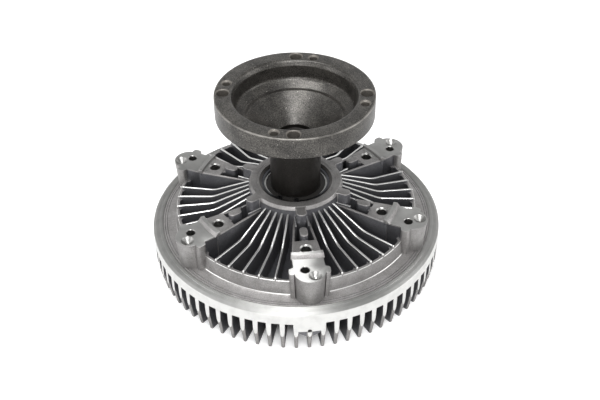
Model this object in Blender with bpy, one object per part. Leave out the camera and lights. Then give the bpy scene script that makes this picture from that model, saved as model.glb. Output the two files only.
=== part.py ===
"""Viscous fan clutch of a heavy engine, opened into every piece that it is assembled from.

The clutch stands on the fin tips of its front cover, with its axis on Z and the drive flange on top.
Lengths are in metres. Heights count from the fin tips, which are the origin's level.
A cutter runs OVERCUT past the face that it opens, and a joined solid sinks SINK into its neighbour.
"""
import math

import bmesh
import bpy
from mathutils import Matrix, Vector

# General
CLEARANCE = 0.0003
MERGE_DISTANCE = 0.000002
OVERCUT = 0.0010
SINK = 0.0010
FACE_SETBACK = 0.0001
SMOOTH_ANGLE = math.radians(32)
RIM_SIDES = 72
PAN_SIDES = 36
HOUSING_SIDES = 48
SLEEVE_SIDES = 36
BEARING_SIDES = 26
HUB_SIDES = 36
SHAFT_SIDES = 14
WASHER_SIDES = 18
HOLE_SIDES = 10
BOLT_HOLE_SIDES = 12
SMALL_SIDES = 8
CAGE_SIDES = 24

# Front cover
COVER_RADIUS = 0.1350
COVER_FIN_HEIGHT = 0.0325
COVER_RIM_HEIGHT = 0.01225
COVER_FIN_PITCH_COUNT = 72
COVER_FIN_ROOT = 0.0048
COVER_FIN_TIP = 0.0030
COVER_FIN_MACHINED = 0.0155
COVER_FIN_DRAFT = 0.0030
COVER_LONG_FIN_INSET = 0.0037
COVER_SHORT_FIN_LENGTH = 0.0470
COVER_FIN_LEAD_IN = 0.0070
COVER_TURN = math.radians(-1.05)
COVER_SKIN = 0.0045
PAN_STEP = 0.0030
COVER_EDGE_BREAK = 0.0010
LIP_SETBACK = 0.0095
LIP_OVERHANG = 0.0021
LIP_THICKNESS = 0.0010
LIP_LINE_SETBACK = 0.0050
LIP_LINE_DEPTH = 0.0005
CHAMBER_SETBACK = 0.0180
CHAMBER_DEPTH = 0.0120
RESERVOIR_RADIUS = 0.0460
RESERVOIR_DEPTH = 0.0090
LEDGE_WIDTH = 0.0043
CENTRE_SKIN = 0.0040
TAB_HALF_ANGLE = math.radians(5.0)
TAB_DROP = 0.0090
TAB_DEPTH = 0.0090
TAB_HOLE_RADIUS = 0.0018
TAB_HOLE_DEPTH = 0.0060
TAB_HOLE_RISE = 0.0008

# Lands and grooves of the shear gap
LAND_COUNT = 3
LAND_SIDE_GAP = 0.0014
LAND_END_GAP = 0.0007
LAND_OUTER_SETBACK = 0.0090
LAND_INNER_SETBACK = 0.0157

# Rear housing
HOUSING_RIM_THICKNESS = 0.00675
SPIGOT_DEPTH = 0.0023
PLATE_THICKNESS = 0.0090
SHOULDER_SETBACK = 0.0220
SHOULDER_RISE = 0.0015
WALL_SETBACK = 0.0017
WALL_THICKNESS = 0.0027
WALL_HEIGHT = 0.01525
SLEEVE_WALL = 0.0119
SLEEVE_DRAFT = 0.0026
SLEEVE_STEP = 0.0006
SEAT_LIP_HEIGHT = 0.0090
SEAT_LIP_WIDTH = 0.0040
SLEEVE_CHAMFER = 0.0023

# Fins of the rear housing
SPOKE_COUNT = 6
FINS_PER_SECTOR = 5
FIN_PITCH = math.radians(7.5)
FIN_TOP_THICKNESS = 0.0019
FIN_FOOT_THICKNESS = 0.0031
FIN_INNER_INSET = 0.0011
FIN_INNER_HEIGHT = 0.0332
FIN_KNEE_SETBACK = 0.0333
FIN_OUTER_HEIGHT = 0.0185

# Spokes and fan bosses
BOSS_HEIGHT = 0.0285
SPOKE_WALL_TOP = 0.0022
SPOKE_WALL_FOOT = 0.0034
BOSS_HALF_WIDTH = 0.0135
BOSS_SETBACK = 0.0078
BOSS_DRAFT = 0.0023
EAR_HALF_WIDTH = 0.0178
EAR_SETBACK = 0.0147
EAR_LENGTH = 0.0070
EAR_FLAT = 0.0028
EAR_SHOULDER = 0.0020
PAD_REACH_IN = 0.0104
REGISTER_SETBACK = 0.0350
REGISTER_WIDTH = 0.0035
REGISTER_HEIGHT = 0.0030
FAN_HOLE_RADIUS = 0.0039
FAN_HOLE_SETBACK = 0.0158
FAN_HOLE_SIDE = -0.0038
FAN_HOLE_DEPTH = 0.0180
DIMPLE_RADIUS = 0.0058
DIMPLE_SETBACK = 0.0079
DIMPLE_SIDE = 0.0040
DIMPLE_CORE_RADIUS = 0.0024
DIMPLE_DEPTH = 0.0036
PAD_HOLE_RADIUS = 0.0045
PAD_HOLE_SETBACK = 0.0073
PAD_HOLE_DEPTH = 0.0160
PAD_HOLE_CHAMFER = 0.0012
KNOB_LENGTH = 0.0125
KNOB_WIDTH = 0.0070
KNOB_SETBACK = 0.0073
KNOB_HEIGHT = 0.0330
NUB_LENGTH = 0.0111
NUB_HALF_WIDTH = 0.0047
RIBLET_SIDE = 0.0056
RIBLET_LENGTH = 0.0141
RIBLET_THICKNESS = 0.0016
RIBLET_HEIGHT = 0.0300

# Bearing
BEARING_SECTION = 0.0120
BEARING_OUTER_RADIUS = 0.0310
BEARING_WIDTH = 0.0360
BALL_SHARE = 5 / 8
BALLS_PER_ROW = 8
BALL_CLEARANCE = 0.00045
ROW_SPACING = 0.0160
LAND_GAP_SHARE = 13 / 30
SEAL_THICKNESS = 0.0015
SEAL_INSET = 0.0004
CAGE_CLEARANCE = 0.0011
CAGE_BACK = 0.0018
CIRCLIP_THICKNESS = 0.0014
CIRCLIP_SEAT_DEPTH = 0.0014
CIRCLIP_WIDTH = 0.0034
CIRCLIP_GAP = math.radians(24)
CIRCLIP_TURN = math.radians(-111.5)
CIRCLIP_LUG_REACH = 0.0034
CIRCLIP_LUG_ANGLE = math.radians(9)
CIRCLIP_STEPS = 26

# Drive hub
SHAFT_SHOULDER = 0.0040
HUB_LENGTH = 0.0970
ROTOR_SEAT_STEP = 0.0030
FLANGE_RADIUS = 0.0702
FLANGE_THICKNESS = 0.0196
FLANGE_EDGE_BREAK = 0.0008
MOUTH_SETBACK = 0.0147
MOUTH_DEPTH = 0.0047
BOWL_SETBACK = 0.0021
BOWL_WALL_DEPTH = 0.0175
BOWL_LEDGE_DEPTH = 0.0233
BOWL_FILLET = 0.0084
BOWL_LEDGE_WIDTH = 0.0032
RECESS_RADIUS = 0.0173
CONE_DEPTH = 0.0445
RECESS_DEPTH = 0.0040
BOWL_WALL = 0.0090
FLANGE_BOLT_RADIUS = 0.0055
FLANGE_BOLT_SETBACK = 0.0076
FLANGE_BOLT_COUNT = 4
FLANGE_THREAD_RADIUS = 0.0036
FLANGE_THREAD_SETBACK = 0.0078
FLANGE_THREAD_DEPTH = 0.0150
FLANGE_THREAD_OFFSET = math.radians(-14.95)
HUB_TURN = math.radians(-6.8)

# Rotor and its fastening
ROTOR_SETBACK = 0.0040
ROTOR_THICKNESS = 0.0053
ROTOR_TOP_GAP = 0.0017
ROTOR_HUB_WALL = 0.0060
ROTOR_PORT_RADIUS = 0.0040
ROTOR_PORT_COUNT = 6
ROTOR_WASHER_LAP = 0.0040
ROTOR_WASHER_THICKNESS = 0.0015
ROTOR_SCREW_RADIUS = 0.0050
ROTOR_SCREW_LENGTH = 0.0180
ROTOR_SCREW_HEAD_RADIUS = 0.0080
ROTOR_SCREW_HEAD_HEIGHT = 0.0025
ROTOR_SCREW_SOCKET = 0.0035
ROTOR_SCREW_SOCKET_DEPTH = 0.0014

# Reservoir plate, its screws and the wiper blocks
RESERVOIR_PLATE_THICKNESS = 0.0015
GATE_RADIUS = 0.0038
GATE_DISTANCE = 0.0330
GATE_LAP = 0.0015
GATE_TURN = math.radians(35)
PLATE_SCREW_COUNT = 4
PLATE_SCREW_RADIUS = 0.0015
PLATE_SCREW_LENGTH = 0.0050
PLATE_SCREW_HEAD_RADIUS = 0.0026
PLATE_SCREW_CROWN_RADIUS = 0.0021
PLATE_SCREW_HEAD_HEIGHT = 0.0012
WIPER_LENGTH = 0.0120
WIPER_HEIGHT = 0.0090
WIPER_COUNT = 2
WIPER_TURN = math.radians(45)

# Valve
VALVE_SHAFT_RADIUS = 0.0035
VALVE_SHAFT_COLLAR = 0.0060
VALVE_COLLAR_HEIGHT = 0.0020
VALVE_BOSS_RADIUS = 0.0100
VALVE_BOSS_DROP = 0.0020
VALVE_ARM_THICKNESS = 0.0014
VALVE_ARM_WIDTH = 0.0085
VALVE_ARM_HUB_RADIUS = 0.0075
VALVE_PLATE_GAP = 0.0005
VALVE_SEAL_SECTION = 0.0008
VALVE_SEAL_DEPTH = 0.0022
COIL_GAP = 0.0015
COIL_WIDTH = 0.0050
COIL_THICKNESS = 0.0010
COIL_PITCH = 0.0026
COIL_TURNS = 4.0
COIL_START_RADIUS = 0.0058
COIL_STEPS_PER_TURN = 12
COIL_SLOT_WIDTH = 0.0016
COIL_TANG_REACH = 0.0021
ANCHOR_THICKNESS = 0.0012
ANCHOR_WIDTH = 0.0090
ANCHOR_FOOT = 0.0140
RIVET_RADIUS = 0.0015
RIVET_HEAD_RADIUS = 0.0019
RIVET_HEAD_HEIGHT = 0.0011
RIVET_DEPTH = 0.0025

# Cover seal ring
SEAL_RING_SECTION = 0.0013

# Levels that stack up from the fin tips
RIM_TOP_Z = COVER_FIN_HEIGHT + COVER_RIM_HEIGHT
LEDGE_Z = RIM_TOP_Z - HOUSING_RIM_THICKNESS
CHAMBER_TOP_Z = LEDGE_Z + CLEARANCE - SPIGOT_DEPTH
CHAMBER_FLOOR_Z = CHAMBER_TOP_Z - CHAMBER_DEPTH
RESERVOIR_FLOOR_Z = CHAMBER_FLOOR_Z - RESERVOIR_DEPTH
RESERVOIR_PLATE_TOP_Z = CHAMBER_FLOOR_Z - CLEARANCE
RESERVOIR_LEDGE_Z = RESERVOIR_PLATE_TOP_Z - RESERVOIR_PLATE_THICKNESS - CLEARANCE
HOUSING_FLOOR_Z = CHAMBER_TOP_Z + PLATE_THICKNESS
SLEEVE_FOOT_Z = CHAMBER_TOP_Z - SLEEVE_STEP
SEAT_LIP_Z = SLEEVE_FOOT_Z + SEAT_LIP_HEIGHT
BEARING_LOW_Z = SEAT_LIP_Z + CLEARANCE
BEARING_HIGH_Z = BEARING_LOW_Z + BEARING_WIDTH
BEARING_MIDDLE_Z = (BEARING_LOW_Z + BEARING_HIGH_Z) / 2
CIRCLIP_LOW_Z = BEARING_HIGH_Z + CLEARANCE
CIRCLIP_HIGH_Z = CIRCLIP_LOW_Z + CIRCLIP_THICKNESS
SLEEVE_TOP_Z = CIRCLIP_HIGH_Z + CLEARANCE + SLEEVE_CHAMFER
BOSS_TOP_Z = HOUSING_FLOOR_Z + BOSS_HEIGHT
SHAFT_SHOULDER_Z = BEARING_HIGH_Z + CLEARANCE
FLANGE_TOP_Z = SHAFT_SHOULDER_Z + HUB_LENGTH
FLANGE_LOW_Z = FLANGE_TOP_Z - FLANGE_THICKNESS
ROTOR_TOP_Z = CHAMBER_TOP_Z - ROTOR_TOP_GAP
ROTOR_LOW_Z = ROTOR_TOP_Z - ROTOR_THICKNESS
LAND_HEIGHT = ROTOR_LOW_Z - CHAMBER_FLOOR_Z - LAND_END_GAP
CENTRE_UNDER_Z = RESERVOIR_FLOOR_Z - CENTRE_SKIN
COIL_LOW_Z = CENTRE_UNDER_Z - VALVE_BOSS_DROP - COIL_GAP - COIL_WIDTH

# Radii that follow from the fits
BEARING_BORE_RADIUS = BEARING_OUTER_RADIUS - BEARING_SECTION
BORE_RADIUS = BEARING_OUTER_RADIUS + CLEARANCE
SLEEVE_TOP_RADIUS = BEARING_OUTER_RADIUS + SLEEVE_WALL
SLEEVE_FOOT_RADIUS = SLEEVE_TOP_RADIUS + SLEEVE_DRAFT
SHAFT_RADIUS = BEARING_BORE_RADIUS + SHAFT_SHOULDER
ROTOR_SEAT_RADIUS = BEARING_BORE_RADIUS - ROTOR_SEAT_STEP
ROTOR_HUB_RADIUS = ROTOR_SEAT_RADIUS + ROTOR_HUB_WALL
ROTOR_WASHER_RADIUS = ROTOR_SEAT_RADIUS + ROTOR_WASHER_LAP
PITCH_RADIUS = (BEARING_BORE_RADIUS + BEARING_OUTER_RADIUS) / 2
BALL_RADIUS = BALL_SHARE * BEARING_SECTION / 2
RACE_LAND = LAND_GAP_SHARE * BEARING_SECTION / 2
CAGE_WALL = 2 * (RACE_LAND - CAGE_CLEARANCE)
PLATE_SEAT_RADIUS = RESERVOIR_RADIUS + LEDGE_WIDTH
ROTOR_PORT_CIRCLE = PLATE_SEAT_RADIUS

# Radii that follow from the cover's rim
LIP_INNER_RADIUS = COVER_RADIUS - LIP_SETBACK
LIP_LINE_RADIUS = COVER_RADIUS - LIP_LINE_SETBACK
CHAMBER_RADIUS = COVER_RADIUS - CHAMBER_SETBACK
COVER_LONG_FIN_START = PLATE_SEAT_RADIUS + COVER_LONG_FIN_INSET
COVER_SHORT_FIN_START = COVER_RADIUS - COVER_SHORT_FIN_LENGTH
HOUSING_RIM_RADIUS = LIP_INNER_RADIUS + LIP_OVERHANG - CLEARANCE
REBATE_RADIUS = CHAMBER_RADIUS + 2 * SEAL_RING_SECTION + CLEARANCE
ROTOR_RADIUS = CHAMBER_RADIUS - ROTOR_SETBACK
LAND_OUTER_RADIUS = CHAMBER_RADIUS - LAND_OUTER_SETBACK
LAND_INNER_RADIUS = PLATE_SEAT_RADIUS + LAND_INNER_SETBACK
LAND_PITCH = (LAND_OUTER_RADIUS - LAND_INNER_RADIUS) / LAND_COUNT
LAND_WIDTH = LAND_PITCH / 2 - LAND_SIDE_GAP

# Radii that follow from the sleeve and the annular wall
SHOULDER_RADIUS = COVER_RADIUS - SHOULDER_SETBACK
WALL_RADIUS = SHOULDER_RADIUS - WALL_SETBACK
FIN_KNEE_RADIUS = WALL_RADIUS - FIN_KNEE_SETBACK
FIN_INNER_RADIUS = SLEEVE_TOP_RADIUS + FIN_INNER_INSET
RIBLET_INNER = FIN_INNER_RADIUS
RIBLET_OUTER = SLEEVE_TOP_RADIUS + RIBLET_LENGTH
NUB_REACH = SLEEVE_TOP_RADIUS + NUB_LENGTH

# Distances of the boss's features, each from its neighbour further out
BOSS_REACH = COVER_RADIUS - BOSS_SETBACK
EAR_RADIUS_OUT = BOSS_REACH - EAR_SETBACK
DIMPLE_DISTANCE = BOSS_REACH - DIMPLE_SETBACK
FAN_HOLE_DISTANCE = BOSS_REACH - FAN_HOLE_SETBACK
REGISTER_RADIUS = BOSS_REACH - REGISTER_SETBACK
PAD_HOLE_DISTANCE = REGISTER_RADIUS - PAD_HOLE_SETBACK
PAD_INNER_RADIUS = PAD_HOLE_DISTANCE - PAD_REACH_IN
KNOB_CENTRE = PAD_INNER_RADIUS - KNOB_SETBACK

# Radii that follow from the flange
MOUTH_RADIUS = FLANGE_RADIUS - MOUTH_SETBACK
BOWL_RADIUS = MOUTH_RADIUS - BOWL_SETBACK
BOWL_LEDGE_OUTER = BOWL_RADIUS - BOWL_FILLET
BOWL_LEDGE_INNER = BOWL_LEDGE_OUTER - BOWL_LEDGE_WIDTH
FLANGE_BOLT_CIRCLE = FLANGE_RADIUS - FLANGE_BOLT_SETBACK
FLANGE_THREAD_CIRCLE = FLANGE_RADIUS - FLANGE_THREAD_SETBACK

# Directions
SPOKE_STEP = math.tau / SPOKE_COUNT
FIRST_SPOKE = math.radians(-90)


def clear_scene():
    """Start from an empty scene."""
    for obj in list(bpy.data.objects):
        bpy.data.objects.remove(obj, do_unlink=True)


def make_material(name, color, roughness, metallic):
    """Make a Principled material of one colour."""
    material = bpy.data.materials.new(name)
    material.use_nodes = True
    shader = material.node_tree.nodes["Principled BSDF"]
    shader.inputs["Base Color"].default_value = (*color, 1.0)
    shader.inputs["Roughness"].default_value = roughness
    shader.inputs["Metallic"].default_value = metallic
    material.diffuse_color = (*color, 1.0)
    return material


def turn_about_z(angle):
    """Rotation about the clutch's axis."""
    return Matrix.Rotation(angle, 4, "Z")


def shade(obj):
    """Smooth the round faces and keep the edges crisp."""
    obj.data.shade_smooth()
    obj.data.set_sharp_from_angle(angle=SMOOTH_ANGLE)


def to_object(name, bm, material):
    """Turn a bmesh into an object with its own material."""
    bmesh.ops.remove_doubles(bm, verts=bm.verts, dist=MERGE_DISTANCE)
    bmesh.ops.recalc_face_normals(bm, faces=bm.faces)
    mesh = bpy.data.meshes.new(name)
    bm.to_mesh(mesh)
    bm.free()
    mesh.materials.append(material)
    obj = bpy.data.objects.new(name, mesh)
    bpy.context.collection.objects.link(obj)
    shade(obj)
    return obj


def spin_outline(bm, outline, sides, phase=0.0):
    """Spin a (radius, height) outline about Z; one that starts on the axis stays open there."""
    start = Matrix.Rotation(phase, 3, "Z")
    verts = [bm.verts.new(start @ Vector((radius, 0, height))) for radius, height in outline]
    edges = [bm.edges.new(pair) for pair in zip(verts, verts[1:])]
    if outline[0][0] > 0:
        edges.append(bm.edges.new((verts[-1], verts[0])))
    bmesh.ops.spin(
        bm, geom=verts + edges, cent=(0, 0, 0), axis=(0, 0, 1),
        angle=math.tau, steps=sides, use_merge=True,
    )
    bmesh.ops.remove_doubles(bm, verts=bm.verts, dist=MERGE_DISTANCE)


def turned(name, outline, sides, material, phase=0.0):
    """Make an object by turning an outline."""
    bm = bmesh.new()
    spin_outline(bm, outline, sides, phase)
    return to_object(name, bm, material)


def place(bm, verts, matrix):
    """Move fresh vertices by a matrix."""
    bmesh.ops.transform(bm, matrix=matrix, verts=verts)


def add_prism(bm, outline, low, high, matrix=None, low_outline=None):
    """Raise a flat outline between two heights; a second outline gives the foot its own shape."""
    foot = [bm.verts.new((x, y, low)) for x, y in (low_outline or outline)]
    head = [bm.verts.new((x, y, high)) for x, y in outline]
    bm.faces.new(list(reversed(foot)))
    bm.faces.new(head)
    count = len(foot)
    for index in range(count):
        after = (index + 1) % count
        bm.faces.new((foot[index], foot[after], head[after], head[index]))
    if matrix is not None:
        place(bm, foot + head, matrix)


def add_blade(bm, outline, thickness_at, angle):
    """Stand a (radius, height) outline on edge as a radial blade with drafted sides."""
    sides = []
    for sign in (-1, 1):
        sides.append([
            bm.verts.new((radius, sign * thickness_at(height) / 2, height))
            for radius, height in outline
        ])
    near, far = sides
    bm.faces.new(near)
    bm.faces.new(list(reversed(far)))
    count = len(near)
    for index in range(count):
        after = (index + 1) % count
        bm.faces.new((near[index], far[index], far[after], near[after]))
    place(bm, near + far, turn_about_z(angle))


def add_rod(bm, radius, low, high, sides, matrix=None, top_radius=None):
    """Add an upright round bar or cone."""
    rings = []
    for ring_radius, height in ((radius, low), (top_radius or radius, high)):
        rings.append([
            bm.verts.new((
                ring_radius * math.cos(math.tau * step / sides),
                ring_radius * math.sin(math.tau * step / sides),
                height,
            ))
            for step in range(sides)
        ])
    foot, head = rings
    bm.faces.new(list(reversed(foot)))
    bm.faces.new(head)
    for index in range(sides):
        after = (index + 1) % sides
        bm.faces.new((foot[index], foot[after], head[after], head[index]))
    if matrix is not None:
        place(bm, foot + head, matrix)


def arc(centre, radius, start, end, steps):
    """Points along an arc, from one angle to another."""
    return [
        (
            centre[0] + radius * math.cos(start + (end - start) * step / steps),
            centre[1] + radius * math.sin(start + (end - start) * step / steps),
        )
        for step in range(steps + 1)
    ]


def combine(target, operation, helpers):
    """Join helper solids to the target, or cut them from it, and remove the helpers."""
    group = bpy.data.collections.new(target.name + "_helpers")
    for helper in helpers:
        helper.hide_render = True
        helper.display_type = "WIRE"
        group.objects.link(helper)
    modifier = target.modifiers.new(operation.lower(), "BOOLEAN")
    modifier.solver = "EXACT"
    modifier.operation = operation
    modifier.operand_type = "COLLECTION"
    modifier.collection = group
    depsgraph = bpy.context.evaluated_depsgraph_get()
    result = bpy.data.meshes.new_from_object(target.evaluated_get(depsgraph))
    target.modifiers.clear()
    spare = target.data
    target.data = result
    bpy.data.meshes.remove(spare)
    for helper in helpers:
        mesh = helper.data
        bpy.data.objects.remove(helper, do_unlink=True)
        bpy.data.meshes.remove(mesh)
    bpy.data.collections.remove(group)
    shade(target)
    return target


def helper_solid(build, material):
    """Make a helper object from a function that fills a bmesh."""
    bm = bmesh.new()
    build(bm)
    return to_object("helper", bm, material)


def spoke_angles():
    """Directions of the six spokes, the first one to the front."""
    return [FIRST_SPOKE + SPOKE_STEP * index for index in range(SPOKE_COUNT)]


def drafted(top_z, top_thickness, foot_z, foot_thickness):
    """Thickness at a height, for a rib that widens from its top edge to its foot."""
    def thickness_at(height):
        share = (top_z - height) / (top_z - foot_z)
        return top_thickness + (foot_thickness - top_thickness) * share
    return thickness_at


def housing_plate(material):
    """Rim, shoulder, annular wall and chamber roof of the rear housing, turned in one."""
    shoulder_z = RIM_TOP_Z
    plate_inner = SLEEVE_TOP_RADIUS - 4 * SINK
    outline = [
        (plate_inner, CHAMBER_TOP_Z),
        (CHAMBER_RADIUS - CLEARANCE, CHAMBER_TOP_Z),
        (CHAMBER_RADIUS - CLEARANCE, LEDGE_Z + CLEARANCE),
        (HOUSING_RIM_RADIUS, LEDGE_Z + CLEARANCE),
        (HOUSING_RIM_RADIUS, RIM_TOP_Z - LIP_THICKNESS - LIP_OVERHANG),
        (LIP_INNER_RADIUS - CLEARANCE, RIM_TOP_Z - LIP_THICKNESS - CLEARANCE / 2),
        (LIP_INNER_RADIUS - CLEARANCE, shoulder_z),
        (SHOULDER_RADIUS, shoulder_z + SHOULDER_RISE),
        (WALL_RADIUS, HOUSING_FLOOR_Z + WALL_HEIGHT),
        (WALL_RADIUS - WALL_THICKNESS, HOUSING_FLOOR_Z + WALL_HEIGHT),
        (WALL_RADIUS - WALL_THICKNESS, HOUSING_FLOOR_Z),
        (plate_inner, HOUSING_FLOOR_Z),
    ]
    return turned("rear_housing", outline, HOUSING_SIDES, material)


def housing_sleeve(bm):
    """Bearing sleeve with its seat lip, circlip groove and chamfered mouth."""
    groove_radius = BORE_RADIUS + CIRCLIP_SEAT_DEPTH + CLEARANCE
    outline = [
        (BORE_RADIUS - SEAT_LIP_WIDTH, SLEEVE_FOOT_Z),
        (SLEEVE_FOOT_RADIUS, SLEEVE_FOOT_Z),
        (SLEEVE_FOOT_RADIUS, HOUSING_FLOOR_Z + SLEEVE_STEP),
        (SLEEVE_TOP_RADIUS, SLEEVE_TOP_Z - SLEEVE_STEP),
        (SLEEVE_TOP_RADIUS - SLEEVE_STEP, SLEEVE_TOP_Z),
        (BORE_RADIUS + SLEEVE_CHAMFER, SLEEVE_TOP_Z),
        (BORE_RADIUS, SLEEVE_TOP_Z - SLEEVE_CHAMFER + SLEEVE_STEP),
        (BORE_RADIUS, CIRCLIP_HIGH_Z + CLEARANCE),
        (groove_radius, CIRCLIP_HIGH_Z + CLEARANCE),
        (groove_radius, CIRCLIP_LOW_Z - CLEARANCE),
        (BORE_RADIUS, CIRCLIP_LOW_Z - CLEARANCE),
        (BORE_RADIUS, SEAT_LIP_Z),
        (BORE_RADIUS - SEAT_LIP_WIDTH, SEAT_LIP_Z),
    ]
    spin_outline(bm, outline, SLEEVE_SIDES)


def housing_fins(bm):
    """Five radial fins in each sector, high at the sleeve and level outside the knee."""
    root_radius = SLEEVE_TOP_RADIUS - 1.5 * SINK
    foot_z = HOUSING_FLOOR_Z - SINK
    inner_top = HOUSING_FLOOR_Z + FIN_INNER_HEIGHT
    outer_top = HOUSING_FLOOR_Z + FIN_OUTER_HEIGHT
    end_radius = WALL_RADIUS - CLEARANCE
    outline = [
        (root_radius, foot_z),
        (end_radius, foot_z),
        (end_radius, outer_top),
        (FIN_KNEE_RADIUS, outer_top),
        (FIN_INNER_RADIUS, inner_top),
        (root_radius, inner_top),
    ]
    thickness_at = drafted(inner_top, FIN_TOP_THICKNESS, foot_z, FIN_FOOT_THICKNESS)
    middle = (FINS_PER_SECTOR - 1) / 2
    for spoke in spoke_angles():
        for index in range(FINS_PER_SECTOR):
            angle = spoke + SPOKE_STEP / 2 + (index - middle) * FIN_PITCH
            add_blade(bm, outline, thickness_at, angle)


def spoke_walls(bm):
    """Two tall walls beside each spoke, from the sleeve to the boss."""
    foot_z = HOUSING_FLOOR_Z - SINK
    inner = SLEEVE_TOP_RADIUS - 1.5 * SINK
    outer = REGISTER_RADIUS + REGISTER_WIDTH
    top_z = BOSS_TOP_Z - CLEARANCE
    outline = [(inner, foot_z), (outer, foot_z), (outer, top_z), (inner, top_z)]
    thickness_at = drafted(BOSS_TOP_Z, SPOKE_WALL_TOP, foot_z, SPOKE_WALL_FOOT)
    for spoke in spoke_angles():
        for side in (-1, 1):
            add_blade(bm, outline, thickness_at, spoke + side * FIN_PITCH)


def boss_outline(draft):
    """Half-round boss with an ear on each side and the pad between the spoke walls."""
    half = BOSS_HALF_WIDTH - draft / 2
    ear = EAR_HALF_WIDTH - draft / 2
    reach = BOSS_REACH - draft
    pad_half = PAD_INNER_RADIUS * math.tan(FIN_PITCH)
    neck_half = REGISTER_RADIUS * math.tan(FIN_PITCH)
    ear_low = EAR_RADIUS_OUT - EAR_LENGTH / 2
    ear_high = EAR_RADIUS_OUT + EAR_LENGTH / 2
    right = [
        (PAD_INNER_RADIUS, pad_half),
        (REGISTER_RADIUS - SINK / 2, neck_half),
        (REGISTER_RADIUS - SINK / 2, half),
        (ear_low - EAR_SHOULDER, half),
        (ear_low, (half + ear) / 2),
        (EAR_RADIUS_OUT - EAR_FLAT / 2, ear),
        (EAR_RADIUS_OUT + EAR_FLAT / 2, ear),
        (ear_high, half + (ear - half) / 5),
    ]
    nose = arc((reach - half, 0), half, math.radians(80), math.radians(-80), 6)
    left = [(x, -y) for x, y in reversed(right)]
    return right + nose + left


def fan_bosses(bm):
    """Pad, boss column and round nose that carry the fan, one on each spoke."""
    outline = list(reversed(boss_outline(0.0)))
    foot_outline = list(reversed(boss_outline(BOSS_DRAFT)))
    foot_z = HOUSING_FLOOR_Z - SINK
    for spoke in spoke_angles():
        add_prism(bm, outline, foot_z, BOSS_TOP_Z, turn_about_z(spoke), foot_outline)


def fan_registers(bm):
    """Raised turned shoulder across each boss that centres the fan."""
    half_angle = math.asin((BOSS_HALF_WIDTH + SINK / 2) / REGISTER_RADIUS)
    steps = 3
    foot_z = BOSS_TOP_Z - SINK
    crest_radius = REGISTER_RADIUS + REGISTER_WIDTH
    foot_radius = crest_radius + REGISTER_HEIGHT
    inner = arc((0, 0), REGISTER_RADIUS, -half_angle, half_angle, steps)
    crest = arc((0, 0), crest_radius, half_angle, -half_angle, steps)
    foot = arc((0, 0), foot_radius, half_angle, -half_angle, steps)
    for spoke in spoke_angles():
        add_prism(bm, inner + crest, foot_z, BOSS_TOP_Z + REGISTER_HEIGHT, turn_about_z(spoke), inner + foot)


def spoke_details(bm):
    """Oblong knob, nub of the sleeve and two riblets in each spoke's channel."""
    foot_z = HOUSING_FLOOR_Z - SINK
    knob_round = KNOB_WIDTH / 2
    straight = KNOB_LENGTH / 2 - knob_round
    knob = arc((KNOB_CENTRE + straight, 0), knob_round, -math.pi / 2, math.pi / 2, 3)
    knob += arc((KNOB_CENTRE - straight, 0), knob_round, math.pi / 2, 3 * math.pi / 2, 3)
    nub = [(SLEEVE_TOP_RADIUS - 3 * SINK, -NUB_HALF_WIDTH)]
    nub += arc((NUB_REACH - NUB_HALF_WIDTH, 0), NUB_HALF_WIDTH, -math.pi / 2, math.pi / 2, 5)
    nub += [(SLEEVE_TOP_RADIUS - 3 * SINK, NUB_HALF_WIDTH)]
    for spoke in spoke_angles():
        matrix = turn_about_z(spoke)
        add_prism(bm, knob, foot_z, HOUSING_FLOOR_Z + KNOB_HEIGHT, matrix)
        add_prism(bm, nub, foot_z - SINK / 2, SLEEVE_TOP_Z - CLEARANCE, matrix)


def spoke_riblets(bm):
    """Two short upright ribs beside each nub."""
    foot_z = HOUSING_FLOOR_Z - 1.5 * SINK
    half = RIBLET_THICKNESS / 2
    for spoke in spoke_angles():
        for side in (-RIBLET_SIDE, RIBLET_SIDE):
            riblet = [
                (RIBLET_INNER - 3 * SINK, side - half),
                (RIBLET_OUTER, side - half),
                (RIBLET_OUTER, side + half),
                (RIBLET_INNER - 3 * SINK, side + half),
            ]
            add_prism(bm, riblet, foot_z, HOUSING_FLOOR_Z + RIBLET_HEIGHT, turn_about_z(spoke))


def boss_hole_cutters(bm):
    """Fan screw hole, countersunk dimple and pad hole of each boss."""
    above = BOSS_TOP_Z + OVERCUT
    for spoke in spoke_angles():
        screw = turn_about_z(spoke) @ Matrix.Translation((FAN_HOLE_DISTANCE, FAN_HOLE_SIDE, 0))
        add_rod(bm, FAN_HOLE_RADIUS, BOSS_TOP_Z - FAN_HOLE_DEPTH, above, HOLE_SIDES, screw)
        dimple = turn_about_z(spoke) @ Matrix.Translation((DIMPLE_DISTANCE, DIMPLE_SIDE, 0))
        spread = (DIMPLE_RADIUS - DIMPLE_CORE_RADIUS) / DIMPLE_DEPTH
        add_rod(
            bm, DIMPLE_CORE_RADIUS, BOSS_TOP_Z - DIMPLE_DEPTH, above, HOLE_SIDES, dimple,
            DIMPLE_RADIUS + OVERCUT * spread,
        )
        pad = turn_about_z(spoke) @ Matrix.Translation((PAD_HOLE_DISTANCE, 0, 0))
        add_rod(bm, PAD_HOLE_RADIUS, BOSS_TOP_Z - PAD_HOLE_DEPTH, above, HOLE_SIDES, pad)


def pad_chamfer_cutters(bm):
    """Chamfer at the mouth of each pad hole."""
    wide = PAD_HOLE_RADIUS + PAD_HOLE_CHAMFER
    low = BOSS_TOP_Z - PAD_HOLE_CHAMFER - OVERCUT
    for spoke in spoke_angles():
        pad = turn_about_z(spoke) @ Matrix.Translation((PAD_HOLE_DISTANCE, 0, 0))
        add_rod(
            bm, PAD_HOLE_RADIUS - OVERCUT, low, BOSS_TOP_Z + OVERCUT, HOLE_SIDES, pad,
            wide + OVERCUT,
        )


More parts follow.
